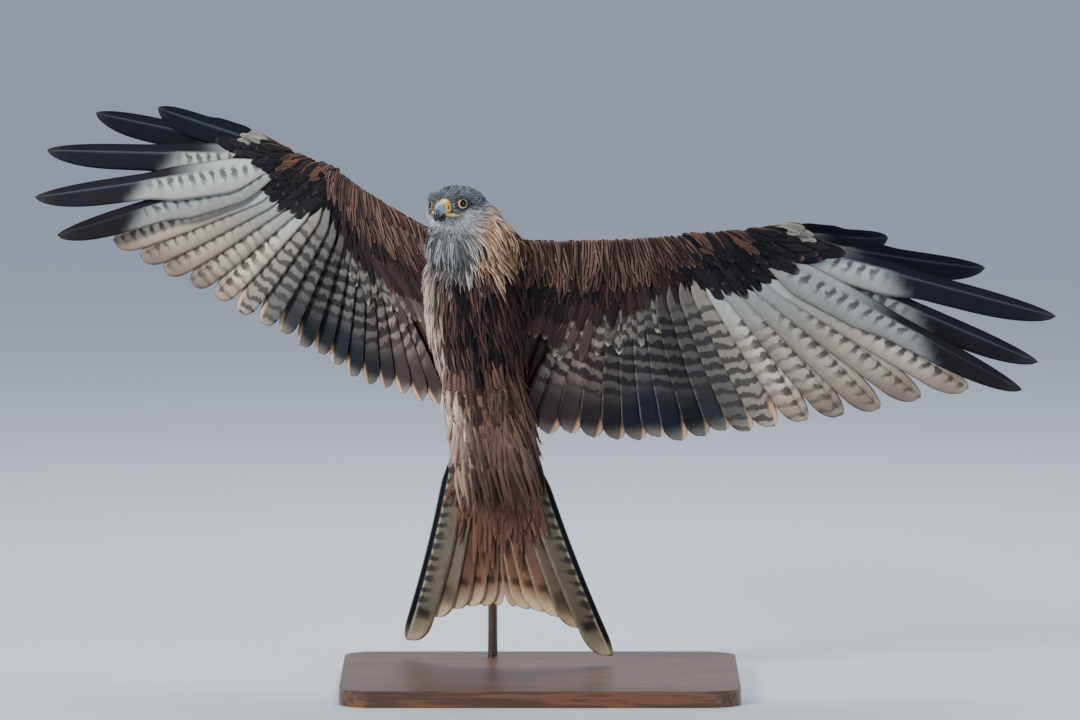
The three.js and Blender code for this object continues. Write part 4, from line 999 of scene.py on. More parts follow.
rings, tips = [], []
for place, width, above, below in eased(HOOK_GIRTHS, 22):
    turn = HOOK_TURN * place ** 2
    ahead = CERE_END + HOOK_LENGTH * math.sin(HOOK_TURN * place) * 0.85
    fall = HOOK_LENGTH * (1 - math.cos(HOOK_TURN * place)) * 0.95
    rings.append(girth((in_head(ahead, 0, BILL_MIDDLE - fall), head_left,
                        head_up * math.cos(turn) + head_forward * math.sin(turn), width, above, below), 32))
    tips.append(place)
horn("bill_hook", rings, tips, "bill_upper")
rings, tips = [], []
for place, width, above, below in eased(LOWER_GIRTHS, 12):
    rings.append(girth((in_head(CERE_START - 2 + LOWER_LENGTH * place, 0, BILL_MIDDLE - 8 - 2.5 * place), head_left,
                        head_up, width, above, below), 28))
    tips.append(place)
horn("bill_under", rings, tips, "bill_lower")


# The flight feathers. Long vanes on a tapering shaft, broad on the trailing side and narrow on the leading
# one, that lie over one another like tiles. The outer five are notched into black fingers.
SHAFT_PITCH, ROOT_STEP = 10.2, 4
VANE = 0.6
QUILL_SAMPLES = (-1, -0.8, -0.6, -0.4, -0.2, -0.09, 0, 0.09, 0.25, 0.5, 0.75, 1)
QUILL_STEPS = 34
TERTIAL_LENGTHS = (168, 156, 142, 122)
TERTIAL_TURN, TERTIAL_LIFT = 6, 3.5
PALE_WINDOW = paint(160, 166, 164)
INNER_PALE = paint(186, 178, 162)
MID_GREY = paint(96, 94, 93)
SLATE_BROWN = paint(62, 56, 56)
BLUE_BLACK = paint(20, 25, 35)
BUFF_TIP = paint(200, 158, 124)
BLACK_FROM = (0.56, 0.48, 0.36, 0.28, -0.2)


def quill_share(t):
    """Breadth from root to tip: a blunt-ended vane."""
    blunt = np.sqrt(np.clip(1 - np.clip((t - 0.85) / 0.15, 0, 1) ** 2.2, 0.004, 1))
    return (0.14 + 0.86 * ramp(t, 0.02, 0.24)) * (1 - 0.1 * ramp(t, 0.6, 0.88)) * blunt


def finger_share(t):
    """Breadth of a finger, notched half way along and pointed."""
    wide = 0.16 + 0.84 * ramp(t, 0.01, 0.24)
    notch = 1 - 0.24 * ramp(t, 0.42, 0.57) - 0.03 * ramp(t, 0.57, 0.8)
    return wide * notch * np.clip(1 - np.clip((t - 0.7) / 0.3, 0, 1) ** 2.2, 0.001, 1) ** 0.6


def rectrix_share(t):
    """Breadth of a tail feather."""
    return (0.4 + 0.6 * ramp(t, 0, 0.16)) * np.sqrt(np.clip(1 - np.clip((t - 0.86) / 0.14, 0, 1) ** 2.4, 0.006, 1))


def long_feather(wing, part, kind, rank, root, fan, raise_by, length, webs, share, **more):
    """One long feather, turned in the plane of the wing's arm or hand and raised out of it."""
    axis, behind, normal = wing[part], wing[part + "_back"], wing[part + "_normal"]
    flat = axis * math.cos(fan * DEG) + behind * math.sin(fan * DEG)
    return {"root": root, "run": flat * math.cos(raise_by * DEG) + normal * math.sin(raise_by * DEG),
            "lead": axis * math.sin(fan * DEG) - behind * math.cos(fan * DEG), "normal": normal, "length": length,
            "webs": webs, "share": share, "kind": kind, "rank": rank, **more}


def primary(wing, k):
    finger, raise_by = k >= 5, wing["primary_lifts"][k]
    root = wing["wrist"] + wing["hand"] * (8 + SHAFT_PITCH * k) - wing["hand_back"] * max(0, k - 6) * ROOT_STEP
    return long_feather(wing, "hand", "primary", k, root, wing["primary_fans"][k], raise_by, wing["primaries"][k],
                 (13, 30) if finger else (12, 27), finger_share if finger else quill_share, roll=6.5,
                 bend=-0.05 if raise_by > 10 else 0)


def secondary(wing, k):
    root = wing["wrist"] + (wing["elbow"] - wing["wrist"]) * (0.03 + 0.94 * k / 11)
    # lit is painted light: it makes the right wing's secondaries lighter and the left wing's darker.
    return long_feather(wing, "arm", "secondary", k, root, wing["secondary_fans"][k], wing["secondary_lifts"][k],
                 wing["secondaries"][k], (13, 26), quill_share, roll=6.5, lit=0.92 - 0.16 * wing["side"])


def tertial(wing, k):
    root = wing["elbow"] + (wing["shoulder"] - wing["elbow"]) * (0.15 + 0.22 * k)
    return long_feather(wing, "arm", "tertial", k, root, wing["secondary_fans"][-1] - TERTIAL_TURN * (k + 1),
                 TERTIAL_LIFT * (k + 1), TERTIAL_LENGTHS[k], (16, 25), quill_share, roll=4)


def quill_paint(quill, t, across, under, draw):
    """Ground, edge and marks over one flight feather: t from root to tip, across from -1 behind to 1."""
    kind, k = quill["kind"], quill["rank"]
    t, across, under = np.broadcast_arrays(t, across, under)
    flat = np.ones((*t.shape, 3))
    lead = ramp(across, -0.05, 0.2)
    by_shaft = np.exp(-(np.abs(across + 0.12) / 0.42) ** 2)
    if kind == "primary" and k >= 5:
        start = BLACK_FROM[k - 5]
        black = ramp(t + 0.06 * across, start, start + 0.13)
        black = np.maximum(black, lead * ramp(t, start - 0.25, start))
        dusky = blend(BLUE_BLACK * 0.7, paint(32, 29, 33), np.array((9 - k) / 4 * 0.8))
        below = blend(PALE_WINDOW * flat, dusky, black)
        below = blend(below, paint(96, 106, 118), black * np.exp(-(across / 0.06) ** 2) * (0.2 if k < 6 else 0.4))
        below = blend(below, paint(116, 108, 100), ramp(-across, 0.3, 1.0) * (1 - black) * 0.6)
        bars = 0.75 * by_shaft * (1 - black)
    elif kind == "primary":
        dusk = ramp(t, 0.74, 0.97)
        below = blend(blend(PALE_WINDOW * flat, INNER_PALE, ramp(t, 0.3, 0.6)), paint(112, 90, 76), dusk * 0.75)
        below = blend(below, paint(112, 94, 82), ramp(-across, 0.25, 1.0) * ramp(t, 0.1, 0.5) * 0.68)
        below = blend(below, paint(70, 60, 56), np.exp(-(across / 0.07) ** 2) * 0.6)
        bars = (0.7 + 0.3 * draw) * by_shaft * ramp(t, 0.3, 0.45) * (1 - 0.3 * dusk)
        if k < 2:
            bars = np.maximum(bars, 0.45 * ramp(t, 0.35, 0.5))
    elif kind == "secondary":
        s = np.array(k / 11)
        # Painted light: the grey of the secondaries scaled by each wing's lit factor.
        pale = blend(INNER_PALE * 0.62, MID_GREY * quill["lit"], ramp(s, -0.08, 0.16))
        pale = blend(pale, paint(140, 124, 114), ramp(s, 0.5, 0.9))
        dark = ramp(t + 0.08 * draw, 0.66 - 0.1 * s, 0.86) * ramp(s, 0.02, 0.25)
        tip = blend(BLUE_BLACK, paint(54, 42, 42), ramp(s, 0.55, 0.95))
        below = blend(pale * flat, SLATE_BROWN, 0.55 * ramp(-across, 0.1, 1.0) * (0.4 + 0.6 * s))
        below = blend(below, SLATE_BROWN, 0.35 * ramp(across, 0.2, 0.9))
        below = blend(below, tip, dark * 0.95)
        buff = ramp(across, 0.15, 0.45) * ramp(t, 0.84, 0.92)
        below = blend(below, BUFF_TIP, buff)
        bars = (0.7 + 0.3 * ramp(s, 0.1, 0.4)) * ramp(t, 0.2, 0.34) * (1 - dark * 0.8) * (1 - buff)
    else:
        below = blend(paint(70, 54, 50) * flat, BLUE_BLACK, ramp(t, 0.6, 0.95) * 0.6)
        bars = 0.15 + 0 * t
    above = (SOOT if kind == "primary" else paint(58, 46, 42)) * flat
    ground = np.where(under[..., None], below, above) * (0.88 + 0.24 * draw)
    bars = np.where(under, bars, 0.25)
    finger = kind == "primary" and k >= 5
    worn = 0.3 if kind != "primary" else 0.03 if finger else 0.14
    edge = blend(ground, paint(206, 194, 176), np.full(t.shape, worn))
    marks = np.stack([bars, np.full(t.shape, 0.1 if finger else 0.8), np.full(t.shape, draw)], -1)
    return ground, edge, marks


def quills(name, feathers, painter, material, seed):
    """Long feathers, each a thin cambered vane with a raised shaft, as one piece."""
    draw = np.random.default_rng(seed)
    t = 1 - (1 - np.linspace(0, 1, QUILL_STEPS + 1)) ** 1.2
    centre, side, up = [], [], []
    for f in feathers:
        face = square_to(f["normal"], f["run"])
        lead = square_to(f["lead"], f["run"])
        lead = square_to(lead, face)
        bow = 4 * f["length"] * t * (1 - t)
        angle = f["roll"] * DEG * (1.25 - 0.75 * t)[:, None]
        centre.append(f["root"] + np.outer(f["length"] * t, f["run"]) + np.outer(f.get("bend", 0) * bow, face)
                      + np.outer(f.get("curve", 0) * bow, lead))
        side.append(lead * np.cos(angle) + face * np.sin(angle))
        up.append(face * np.cos(angle) - lead * np.sin(angle))
    count = len(feathers)
    at = np.broadcast_to(t, (count, len(t)))
    webs = np.array([f["webs"] for f in feathers], float)
    share = np.array([f["share"](t) for f in feathers])
    half = VANE * (0.5 + 0.25 * (1 - at)) * np.where(at > 0.93, 0.6, 1)
    rings, across = blades(np.array(centre), np.array(side), np.array(up), webs, share, half, QUILL_SAMPLES,
                           cup=0.05, ridge=0.8)
    around = len(across)
    under = (np.arange(around) >= len(QUILL_SAMPLES)) | (np.abs(across) == 1)
    painted = [painter(f, t[:, None], across[None], under[None], draw.uniform()) for f in feathers]
    ground, edge, marks = (np.array([p[k] for p in painted]) for k in range(3))
    strip = (np.arange(count)[:, None, None] + 0.04 + 0.92 * np.arange(around + 1) / around) / count
    bake = np.stack(np.broadcast_arrays(strip, (0.01 + 0.98 * at)[..., None]), -1)
    lengths = np.array([f["length"] for f in feathers], float)
    plumage(name, rings, across, at, lengths, webs, bake, ground, edge, marks, material)


quill_finish = feather_finish("quill_feather", paint(44, 38, 38), 0.08, 0.93, 0.6, bar=paint(30, 28, 32))
for name, wing in wings.items():
    hand = [primary(wing, k) for k in range(10)]
    arm = [secondary(wing, k) for k in range(12)] + [tertial(wing, k) for k in range(4)]
    quills("primaries_" + name, hand, quill_paint, quill_finish, 51)
    quills("secondaries_" + name, arm, quill_paint, quill_finish, 52)


# The wing coverts. Rows of smaller feathers that cover the flesh of the wing and the roots of its quills on
# both faces, short and rufous along the leading edge, longer and darker towards the quills.
COVERT_SHAPE = ((0, 0.4), (0.12, 0.75), (0.3, 0.97), (0.55, 1), (0.76, 0.86), (0.9, 0.58), (0.97, 0.3), (1, 0.06))
COVERT_SAMPLES = (-1, -0.5, 0, 0.5, 1)
COVERT_HALF = 0.25
FLESH_PLACES, FLESH_SHARES = (0, 0.02, 0.06, 0.16, 0.3, 0.5, 0.7, 1), (0, 0.3, 0.5, 0.82, 1, 0.95, 0.8, 0.35)
# where a row starts as a share of the flesh from front to back, feather length, half width and spacing
ARM_ROWS = [(0, 30, 3.7, 4.0), (0.1, 38, 3.9, 4.9), (0.24, 42, 4.0, 5.2), (0.4, 46, 4.4, 5.6),
            (0.56, 62, 6.6, 7.5), (0.7, 84, 10.4, 9.4)]
HAND_ROWS = [(0, 28, 3.8, 4.2), (0.16, 36, 4.6, 5.8), (0.36, 42, 5.4, 6.4), (0.55, 56, 8, 7.8), (0.72, 70, 11.4, 8.8)]
ROOT_SUNK, BED_SUNK = 1.3, 0.8
LEAD_THICK, QUILL_THICK, REAR_THICK, REAR_REACH = 3.8, 3.4, 1.4, 20
RISES = {"edge": (1.6, 2.2), "small": (2.4, 4.2), "median": (1.6, 2.6), "great": (0.5, 1.3)}


def bed(wing, part, place, behind, face):
    """A place on the face of the wing, and how far its leading edge lies ahead of the bone."""
    if part == "arm":
        ahead, rear, above, below = arm_measures(wing, place)
        start, along = wing["shoulder"], wing["reach"] * place
    else:
        ahead, above, below = measured(HAND_GIRTHS, place, 1, 2, 3)
        start, along, rear = wing["wrist"], place, hand_behind(place)
    chord = (behind + ahead) / (ahead + rear)
    thick = (above if face > 0 else below) * np.interp(chord, FLESH_PLACES, FLESH_SHARES) - BED_SUNK
    beyond = QUILL_THICK + REAR_THICK * np.exp(-np.clip(behind - rear, 0, None) / REAR_REACH)
    height = np.where(chord < 1, np.maximum(thick, LEAD_THICK * np.clip(chord * 8, 0, 1)), beyond)
    centre = (start + np.outer(along, wing[part]) + np.outer(behind, wing[part + "_back"])
              + np.outer(face * height, wing[part + "_normal"]))
    return centre, ahead, rear


def covert_paint(part, face, row, last, place, draws):
    """Ground, edge, streak and bar strength of the feathers of one row."""
    count = len(place)
    flat = np.ones((count, 3))
    vary = ramp(draws[:, 0], 0.1, 0.9)
    streak, bars = np.full(count, 1.0), np.zeros(count)
    if face < 0 and part == "arm":
        ground = mottled(paint(114, 88, 77), paint(58, 43, 40), vary)
        edge = mottled(paint(146, 118, 104), paint(92, 69, 60), draws[:, 1])
        if row >= last - 2:
            ground = mottled(paint(60, 45, 43), SOOT, vary * 0.8)
            edge = mottled(paint(120, 88, 72), paint(60, 46, 44), draws[:, 1] ** 0.6)
        if row == last:
            pale = ramp(place + 0.3 * draws[:, 2], 0.45, 0.8)
            ground = mottled(paint(64, 50, 48), paint(118, 112, 104), pale)
            edge = mottled(paint(110, 88, 76), paint(186, 178, 164), ramp(draws[:, 1] + pale, 0.4, 1.2))
            bars = 0.85 * pale
            streak = 0.6 - 0.3 * pale
        patch = ramp(place + 0.1 * draws[:, 2], 0.8, 0.95) * (row > 1)
        ground = blend(ground, SOOT, patch)
        edge = blend(edge, paint(56, 48, 48), patch)
        bars = bars * (1 - patch)
    elif face < 0:
        outer = ramp(place + 10 * draws[:, 2], 94, 112) * 0.8
        ground = mottled(SOOT, paint(36, 32, 36), vary)
        edge = mottled(paint(40, 36, 38), paint(110, 92, 80), draws[:, 1] ** 3)
        if row < 2:
            ground = blend(ground, paint(92, 64, 52), ramp(draws[:, 2], 0.3, 0.6) * ramp(-place, -70, -30))
            edge = blend(edge, paint(120, 88, 72), ramp(draws[:, 2], 0.3, 0.6) * ramp(-place, -70, -30))
        ground = blend(ground, paint(150, 150, 138), outer * (row < last - 1))
        edge = blend(edge, paint(186, 184, 170), outer * (row < last - 1))
        streak = np.full(count, 0.5)
    else:
        band = row == 3 and part == "arm"
        ground = (paint(150, 122, 96) if band else paint(92, 64, 50) if row < last - 1 else paint(50, 42, 40)) * flat
        ground = blend(ground, UMBER, vary * 0.5)
        edge = (paint(176, 146, 116) if part == "arm" and row < last else paint(84, 70, 62)) * flat
    return ground, edge, streak, bars


covert_finish = feather_finish("covert_feather", paint(14, 12, 15), 0.46, 0.7, 0.7)
long_covert_finish = feather_finish("long_covert_feather", paint(14, 12, 15), 0.16, 0.86, 0.65, bar=paint(36, 33, 36))
for wing_name, wing in wings.items():
    for face_name, face in (("under", -1), ("upper", 1)):
        for part, rows in (("arm", ARM_ROWS), ("hand", HAND_ROWS)):
            draw = np.random.default_rng(61)
            fans = wing["secondary_fans"] if part == "arm" else wing["primary_fans"]
            last = len(rows) - 1
            for group, chosen in (("small", range(last - 1)), ("long", range(last - 1, last + 1))):
                centres, sides, ups, lengths, widths, paints, bakes = [], [], [], [], [], [], []
                for row in chosen:
                    start, length, width, gap = rows[row]
                    if part == "arm":
                        count = int(wing["reach"] * 1.06 / gap)
                        place = np.linspace(-0.06, 1.0, count) + draw.uniform(-0.3, 0.3, count) / count
                        quill_fan = np.interp(place, [0, wing["along"] / wing["reach"], 1],
                                              [fans[-1] - 24, fans[-1], fans[0]])
                        scale = wing["reach"]
                    else:
                        count = int(122 / gap)
                        place = np.linspace(-14, 108, count) + draw.uniform(-0.3, 0.3, count) * gap
                        quill_fan = np.interp(place, 8 + SHAFT_PITCH * np.arange(10), fans)
                        scale = 1
                    turn = wing["covert_turn"] * (face < 0) * (1 - start) if part == "arm" else -8 * (1 - start)
                    fan = (quill_fan + turn + draw.normal(0, 6 if row < last - 1 else 2, count)) * DEG
                    _, ahead, rear = bed(wing, part, place, np.zeros(count), face)
                    shift = draw.uniform(0, 2.5, count) if start == 0 else draw.uniform(-2.2, 2.2, count)
                    behind = -ahead * 0.94 + (ahead + rear) * start + shift
                    long = length * draw.uniform(0.88, 1.14, count)
                    size = "edge" if row == 0 else "small" if row < last - 1 else "median" if row < last else "great"
                    rise = draw.uniform(*RISES[size], count)
                    line, outwards = [], wing[part + "_normal"] * face
                    for t, _ in COVERT_SHAPE:
                        at = bed(wing, part, place + np.cos(fan) * long * t / scale,
                                 behind + np.sin(fan) * long * t, face)[0]
                        line.append(at + np.outer(rise * t ** 0.8 - ROOT_SUNK * (1 - t), outwards))
                    line = np.stack(line, 1)
                    run = unit(np.gradient(line, axis=1))
                    up = square_to(np.broadcast_to(outwards, line.shape), run)
                    centres.append(line)
                    ups.append(up)
                    sides.append(unit(np.cross(run, up)))
                    lengths.append(long)
                    widths.append(np.full(count, width) * draw.uniform(0.9, 1.15, count))
                    draws = draw.uniform(0, 1, (count, 3))
                    ground, edge, streak, bars = covert_paint(part, face, row, last, place, draws)
                    paints.append((ground, edge, np.column_stack([bars, streak, draws[:, 2]])))
                    bakes.append(np.column_stack([0.04 + 0.92 * np.linspace(0, 1, count),
                                                  np.full(count, 0.05 + 0.9 * row / (last + 1))]))
                centre, side, up, lengths, widths, bake = (
                    np.concatenate(v) for v in (centres, sides, ups, lengths, widths, bakes))
                colours = [np.concatenate([p[k] for p in paints]) for k in range(3)]
                tufts(f"{face_name}_{part}_{group}_{wing_name}", centre, side, up, lengths, widths, COVERT_SHAPE,
                      COVERT_HALF, COVERT_SAMPLES, 0.1, bake, colours,
                      covert_finish if group == "small" else long_covert_finish)


# The tail. Twelve long feathers in a shallow fork, rufous and translucent towards their tips, where the light that
# shines through is a painted glow, the outer ones grey and barred with a black edge, over and under soft coverts.
RECTRIX_LENGTHS = (205, 208, 211, 218, 234, 275)
RECTRIX_ANGLES = (2, 5, 7.8, 10.4, 13.1, 16.35)
RECTRIX_CURVES = (0, 0, -0.003, -0.006, -0.01, -0.016)
RECTRIX_SPACING, RECTRIX_SPREAD, RECTRIX_ROOT = 6.6, 0.7, 30
RECTRIX_WEBS = ((15, 9), (15, 18), (15, 20), (15, 21), (14, 22), (8, 25))
TAIL_RUFOUS = paint(104, 79, 66)
TAIL_OLIVE = paint(108, 103, 88)


def rectrix_paint(quill, t, across, under, draw):
    """Ground, edge and marks over one tail feather: t from root to tip, across from -1 inside to 1."""
    k = quill["rank"]
    t, across, under = np.broadcast_arrays(t, across, under)
    flat = np.ones((*t.shape, 3))
    outer = ramp(np.array(float(k)), 2.6, 4.8)
    ground = blend(TAIL_RUFOUS, TAIL_OLIVE, outer) * flat
    ground = blend(ground, paint(96, 72, 60), 0.7 * ramp(-t, -0.75, -0.2) * (1 - outer))
    # Painted light: a paler rufous glow on the inner web towards the tip, as of light shining through it.
    glow = ramp(-across, 0.1, 0.8) * ramp(t, 0.55, 0.85) * (1 - outer)
    ground = blend(ground, paint(160, 110, 80), glow * 0.45)
    cream = ramp(t + 0.06 * np.abs(across), 0.84, 1.0) * 0.8
    ground = blend(ground, paint(222, 196, 160), cream * (1 - 0.6 * outer))
    if k == 5:
        ground = blend(ground, BLUE_BLACK, ramp(across, 0.0, 0.2))
        spot = ramp(t, 0.79, 0.82) * ramp(-t, -0.88, -0.84) * ramp(across, -0.95, -0.6)
        ground = blend(ground, paint(22, 24, 28), spot * 0.85)
        ground = blend(ground, paint(34, 32, 34), ramp(t + across * 0.22, 0.95, 1.06) * 0.9)
    elif k == 4:
        ground = blend(ground, paint(60, 50, 48), ramp(t, 0.74, 0.82) * ramp(-t, -0.94, -0.86) * 0.55)
    if k >= 4:
        ground = blend(ground, paint(190, 186, 160), np.exp(-(across / 0.06) ** 2) * 0.8)
    above = (paint(148, 92, 60) if k < 5 else paint(108, 76, 56)) * flat
    above = blend(above, paint(60, 44, 38), ramp(t, 0.86, 0.93) * ramp(-t, -0.99, -0.95) * 0.7)
    ground = np.where(under[..., None], ground, above) * (0.88 + 0.24 * draw)
    by_shaft = np.exp(-(np.abs(across + 0.1) / 0.4) ** 2)
    spots = np.exp(-((t - 0.81) / 0.02) ** 4) * ramp(0.85 - np.abs(across), 0, 0.3)
    bars = 0.85 * outer * by_shaft * (1 - ramp(t, 0.78, 0.86))
    ground = blend(ground, paint(30, 24, 24), spots * (1 - outer) * 0.85 * np.where(under, 1, 0))
    marks = np.stack([bars * (across < 0.1), np.full(t.shape, 0.5 * (k < 4)), np.full(t.shape, draw)], -1)
    return ground, blend(ground, paint(232, 214, 184), np.full(t.shape, 0.35)), marks


tail_feathers = []
for side in (1, -1):
    for k, length in enumerate(RECTRIX_LENGTHS):
        angle = RECTRIX_ANGLES[k] * DEG * side
        tail_feathers.append({
            "root": tail_start + TAIL_AXIS * RECTRIX_ROOT + TAIL_ACROSS * side * (
                2 + RECTRIX_SPACING * k + RECTRIX_SPREAD * k * k),
            "run": TAIL_AXIS * math.cos(angle) + TAIL_ACROSS * math.sin(angle), "length": length,
            "normal": tail_up, "lead": TAIL_ACROSS * side, "webs": RECTRIX_WEBS[k], "share": rectrix_share,
            "roll": 5.5, "curve": RECTRIX_CURVES[k], "kind": "rectrix", "rank": k})
tail_finish = feather_finish("tail_feather", paint(96, 70, 52), 0.09, 0.8, 0.55, bar=paint(44, 40, 42),
                             bar_gap=0.016)
quills("tail_quills", tail_feathers, rectrix_paint, tail_finish, 71)

UNDER_TAIL = [(0, 78, 4.4), (6, 92, 4.6), (12, 104, 4.8), (18, 116, 5), (25, 126, 5.2), (34, 134, 5.4)]
UPPER_TAIL = [(2, 50, 7), (16, 66, 8), (30, 84, 9)]
PLUME_HALF = 0.3
PLUME = ((0, 0.35), (0.1, 0.7), (0.28, 1), (0.5, 0.98), (0.7, 0.82), (0.86, 0.56), (0.95, 0.32), (1, 0.05))


def plumes(name, line, lengths, widths, bake, ups, ground, edge, draws):
    """Long soft feathers along given lines, as one piece."""
    run = unit(np.gradient(line, axis=1))
    up = square_to(ups, run)
    marks = np.column_stack([np.zeros(len(lengths)), 0.2 + 0.3 * draws[:, 1], draws[:, 1]])
    tufts(name, line, unit(np.cross(run, up)), up, lengths, widths, PLUME, PLUME_HALF, COVERT_SAMPLES, 0.16, bake,
          (ground, edge, marks), plume_finish)


def tail_coverts(name, face, rows, deep_paint, light_paint, seed):
    """Soft overlapping feathers fanned over the roots of the tail."""
    draw = np.random.default_rng(seed)
    line, lengths, widths, bakes = [], [], [], []
    for number, (start, length, width) in enumerate(rows):
        count = 30
        across = np.linspace(-1, 1, count) + draw.uniform(-0.06, 0.06, count)
        long = length * (1 - 0.3 * across ** 2) * draw.uniform(0.62, 1.2, count)
        angle = (across * 11 + draw.normal(0, 4, count)) * DEG
        run = np.outer(np.cos(angle), TAIL_AXIS) + np.outer(np.sin(angle), TAIL_ACROSS)
        thick = measured(RUMP_GIRTHS, start, 2 if face > 0 else 3)[0]
        high = thick * np.sqrt(np.clip(1 - (across * 0.86) ** 2, 0, 1)) - 1.5
        root = tail_start + TAIL_AXIS * start + np.outer(across * (36 - start * 0.05), TAIL_ACROSS)
        steps = []
        for t, _ in PLUME:
            settle = high * (1 - ramp(np.full(count, t), 0, 0.75)) + (6 + 4 * (len(rows) - number) / len(rows)) * t
            steps.append(root + run * (long * t)[:, None] + np.outer(face * settle, tail_up))
        line.append(np.stack(steps, 1))
        lengths.append(long)
        widths.append(np.full(count, width) * draw.uniform(0.8, 1.15, count))
        bakes.append(np.column_stack([0.05 + 0.9 * (across + 1.1) / 2.2, np.full(count, 0.1 + 0.15 * number)]))
    line, lengths, widths, bake = (np.concatenate(v) for v in (line, lengths, widths, bakes))
    draws = draw.uniform(0, 1, (len(lengths), 2))
    ground = mottled(deep_paint, light_paint, draws[:, 0] * 0.6)
    edge = blend(ground, SAND, 0.25 + draws[:, 1] * 0.4)
    plumes(name, line, lengths, widths, bake, np.broadcast_to(tail_up * face, line.shape), ground, edge, draws)


plume_finish = feather_finish("plume_feather", UMBER * 0.5, 0.12, 0.55, 0.75)
tail_coverts("under_tail_coverts", -1, UNDER_TAIL, paint(92, 65, 54), paint(122, 89, 74), 81)
tail_coverts("upper_tail_coverts", 1, UPPER_TAIL, paint(82, 56, 44), paint(132, 86, 60), 82)

# The plumes of thighs and belly. Long soft feathers that stream back over the tucked feet on to the tail,
# rooted more and more thinly up the belly, where they take on the colours of the coat.
PLUME_COUNT, PLUME_TOP, PLUME_LOW = 460, -6, -130
PLUME_LENGTHS, PLUME_WIDTHS = (52, 112), (1.7, 2.9)
PLUME_REACH = {1: 46, -1: 40}
PLUME_SUNK, THIGH_DEPTH, THIGH_SWELL = 6.5, 38, 8
for name, side in (("plumes_left", 1), ("plumes_right", -1)):
    draw = np.random.default_rng(85)
    count = PLUME_COUNT
    start = PLUME_TOP + (PLUME_LOW - PLUME_TOP) * np.sqrt(draw.uniform(0, 1, count))
    out = side * draw.uniform(-4, PLUME_REACH[side], count)
    width, below = measured(TORSO_GIRTHS[::-1], start, 1, 3)
    share = np.clip(np.abs(out) / (width + 8), 0, 0.97)
    over_thigh = np.clip(1 - ((np.abs(out) - THIGH_OUT) / 20) ** 2, 0, 1)
    thigh = (THIGH_DEPTH + THIGH_SWELL * over_thigh) * ramp(start, -140, -118)
    thigh = thigh * ramp(draw.normal(0, 9, count) - start, 62, 104)
    deep = np.maximum((below - PLUME_SUNK) * np.sqrt(1 - share ** 2), thigh) * ramp(60 - np.abs(out), 4, 26)
    root = TORSO_CENTRE + np.outer(start, forward) + np.outer(out + 4, left) - np.outer(deep, back)
    bake = np.column_stack([0.03 + 0.9 * (out * side + 4) / 50,
                            0.03 + 0.9 * (start - PLUME_LOW) / (PLUME_TOP - PLUME_LOW)])
    lengths = draw.uniform(*PLUME_LENGTHS, count)
    run = unit(-forward * 0.7 + TAIL_AXIS * 0.3 + np.outer(0.0022 * out + draw.normal(0, 0.05, count), left))
    sway = draw.normal(0, 3.5, count)
    line = np.stack([root + run * (lengths * t)[:, None] + np.outer(sway * math.sin(3 * t), left)
                     + np.outer(12 * t ** 2 - (5 + 3 * draw.uniform()) * math.sin(math.pi * t ** 0.8), back)
                     for t, _ in PLUME], 1)
    draws = draw.uniform(0, 1, (count, 2))
    # Painted light: the plumes on the key-lit right side turned paler.
    lit = ramp(-out, 12, 34)
    ground = mottled(paint(104, 80, 70), paint(62, 46, 41), ramp(draws[:, 0], 0.3, 1) * (1 - 0.5 * lit))
    ground = blend(ground, paint(176, 150, 132), lit * ramp(draws[:, 1], 0.3, 0.8) * 0.85)
    coat_ground, coat_edge, _ = body_paint(root, draw.uniform(0, 1, (count, 3)))
    high = ramp(start + draw.normal(0, 8, count), -105, -65)
    ground = blend(ground, coat_ground, high)
    edge = blend(blend(ground, paint(190, 160, 138), 0.08 + 0.25 * draws[:, 1]), coat_edge, high * 0.7)
    plumes(name, line, lengths, draw.uniform(*PLUME_WIDTHS, count), bake, np.broadcast_to(-back, line.shape),
           ground, edge, draws)


# The feet and claws. Short scaly yellow toes clenched behind the thighs, with black hooked claws of horn.
# Their solids are welded and rounded here, and almost hidden by the plumes.
foot_finish, shader, wire = finish("foot_scales", Roughness=0.5)
place = wire.node("ShaderNodeTexCoord", out=3)
scales = wire.node("ShaderNodeTexVoronoi", None, {"Vector": place, "Scale": 520}, out=0)
joined(scales.eased(0.1, 0.7).tinted(paint(226, 176, 62), paint(170, 118, 30)), shader, "Base Color",
       1 - scales, 0.6, 0.0008)
claw_finish, shader, wire = finish("claw_horn", Roughness=0.25, Coat_Weight=0.4)
grain = wire.noise(500)
joined(grain.tinted(paint(18, 17, 18), paint(52, 48, 46)), shader, "Base Color", grain, 0.2, 0.0002)
for name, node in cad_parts.items():
    chosen = foot_finish if name.startswith("foot_") else claw_finish if name.startswith("claw_") else None
    if chosen:
        node.data.materials.clear()
        node.data.materials.append(chosen)
        weld = node.modifiers.new("welded", "WELD")
        weld.merge_threshold = 0.00002
        rounded = node.modifiers.new("rounded", "SUBSURF")
        rounded.levels = rounded.render_levels = 2


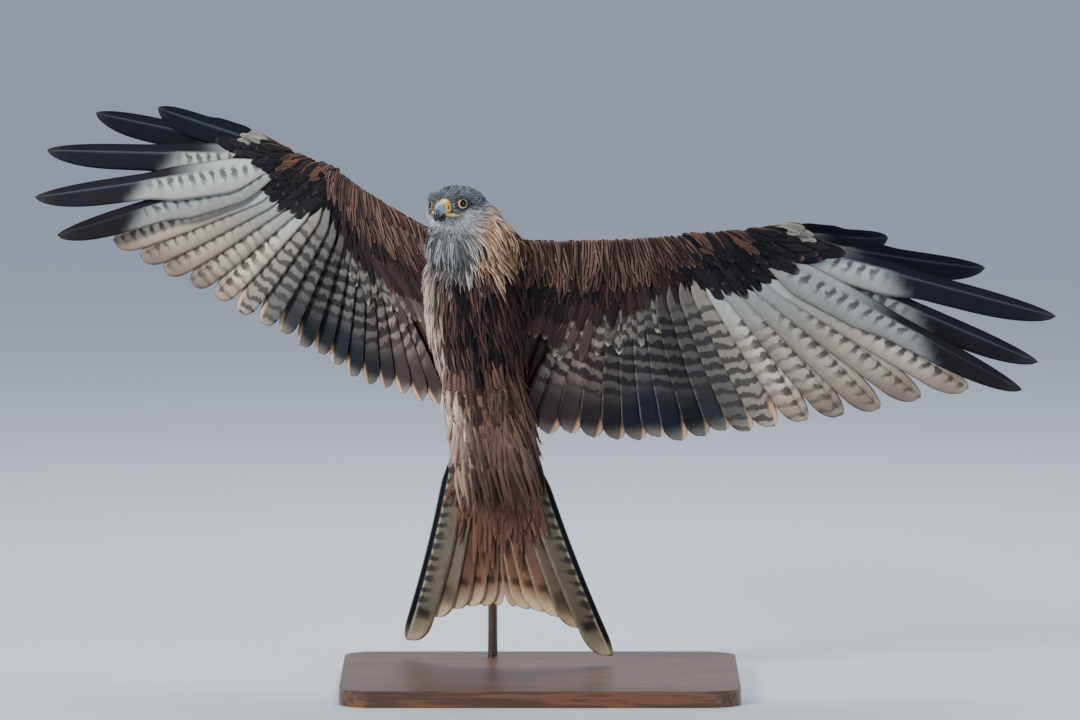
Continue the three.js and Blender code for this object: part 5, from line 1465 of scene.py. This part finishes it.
# The stand. A flat base of dark oiled wood with rounded corners, and one satin steel rod that slants up
# behind the tail into the back.
wood_finish, shader, wire = finish("oiled_wood", Roughness=0.4, Coat_Weight=0.15, Coat_Roughness=0.3)
warp = wire.node("ShaderNodeTexNoise", None, {
    "Vector": wire.mapped((1.6, 22, 22)), "Scale": 1.4, "Detail": 5, "Roughness": 0.6})
pores = wire.noise(1, 2, wire.mapped((30, 900, 900)))
rings_of = wire.math("SINE", warp * 46).eased(-0.9, 0.9)
joined((rings_of * 0.6 + pores * 0.5 - 0.1).tinted(paint(58, 36, 24), paint(112, 72, 44)), shader, "Base Color",
       pores, 0.2, 0.0004)
steel_finish, shader, wire = finish("satin_steel", Metallic=1.0, Roughness=0.32)
brushed = wire.noise(1, 2, wire.mapped((60, 60, 900)))
joined(brushed.tinted(paint(132, 134, 138), paint(178, 180, 184)), shader, "Base Color", brushed, 0.1, 0.0002)
for name, chosen, slot_name in (("stand_base", wood_finish, "base_wood"), ("stand_rod", steel_finish, "rod_steel")):
    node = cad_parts[name]
    node.data.materials.clear()
    node.data.materials.append(chosen)


# The studio. A wide pale floor, a broad soft light from the bird's right and
# front, a weaker one from the other side and one overhead, and a long lens level with the photograph's.
LENS, SENSOR, DISTANCE = 300, 36, 10.8
floor = bmesh.new()
bmesh.ops.create_grid(floor, x_segments=1, y_segments=1, size=60)
floor = new_piece("studio_floor", floor)
floor_finish, shader, wire = finish("pale_floor", Roughness=0.85, Base_Color=(0.62, 0.66, 0.72, 1))
floor.data.materials.append(floor_finish)

world = bpy.data.worlds.new("studio")
bpy.context.scene.world = world
world.use_nodes = True
world.node_tree.nodes["Background"].inputs["Color"].default_value = (0.72, 0.8, 0.95, 1)
world.node_tree.nodes["Background"].inputs["Strength"].default_value = 0.62


def soft_light(name, place, size, power, colour=(1, 1, 1)):
    light = bpy.data.lights.new(name, "AREA")
    light.size, light.energy, light.color = size, power, colour
    lamp = bpy.data.objects.new(name, light)
    lamp.location = place
    lamp.rotation_euler = (Vector((0, 0, lift)) - Vector(place)).to_track_quat("-Z", "Y").to_euler()
    bpy.context.scene.collection.objects.link(lamp)


soft_light("key", (-2.8, -2.8, 2.3), 1.0, 190, (1, 0.96, 0.9))
soft_light("fill", (3.0, -3.2, 1.0), 2.2, 40, (0.9, 0.95, 1))
soft_light("top", (0.4, 1.6, 3.0), 1.6, 90, (0.95, 0.97, 1))

lens = bpy.data.cameras.new("camera")
lens.lens, lens.sensor_width = LENS, SENSOR
lens.clip_end = 200
camera = bpy.data.objects.new("camera", lens)
camera.location = placed((0, -DISTANCE / MM, 0))
camera.rotation_euler = Vector(lean @ np.array((0, 1, 0))).to_track_quat("-Z", "Y").to_euler()
bpy.context.scene.collection.objects.link(camera)
bpy.context.scene.camera = camera
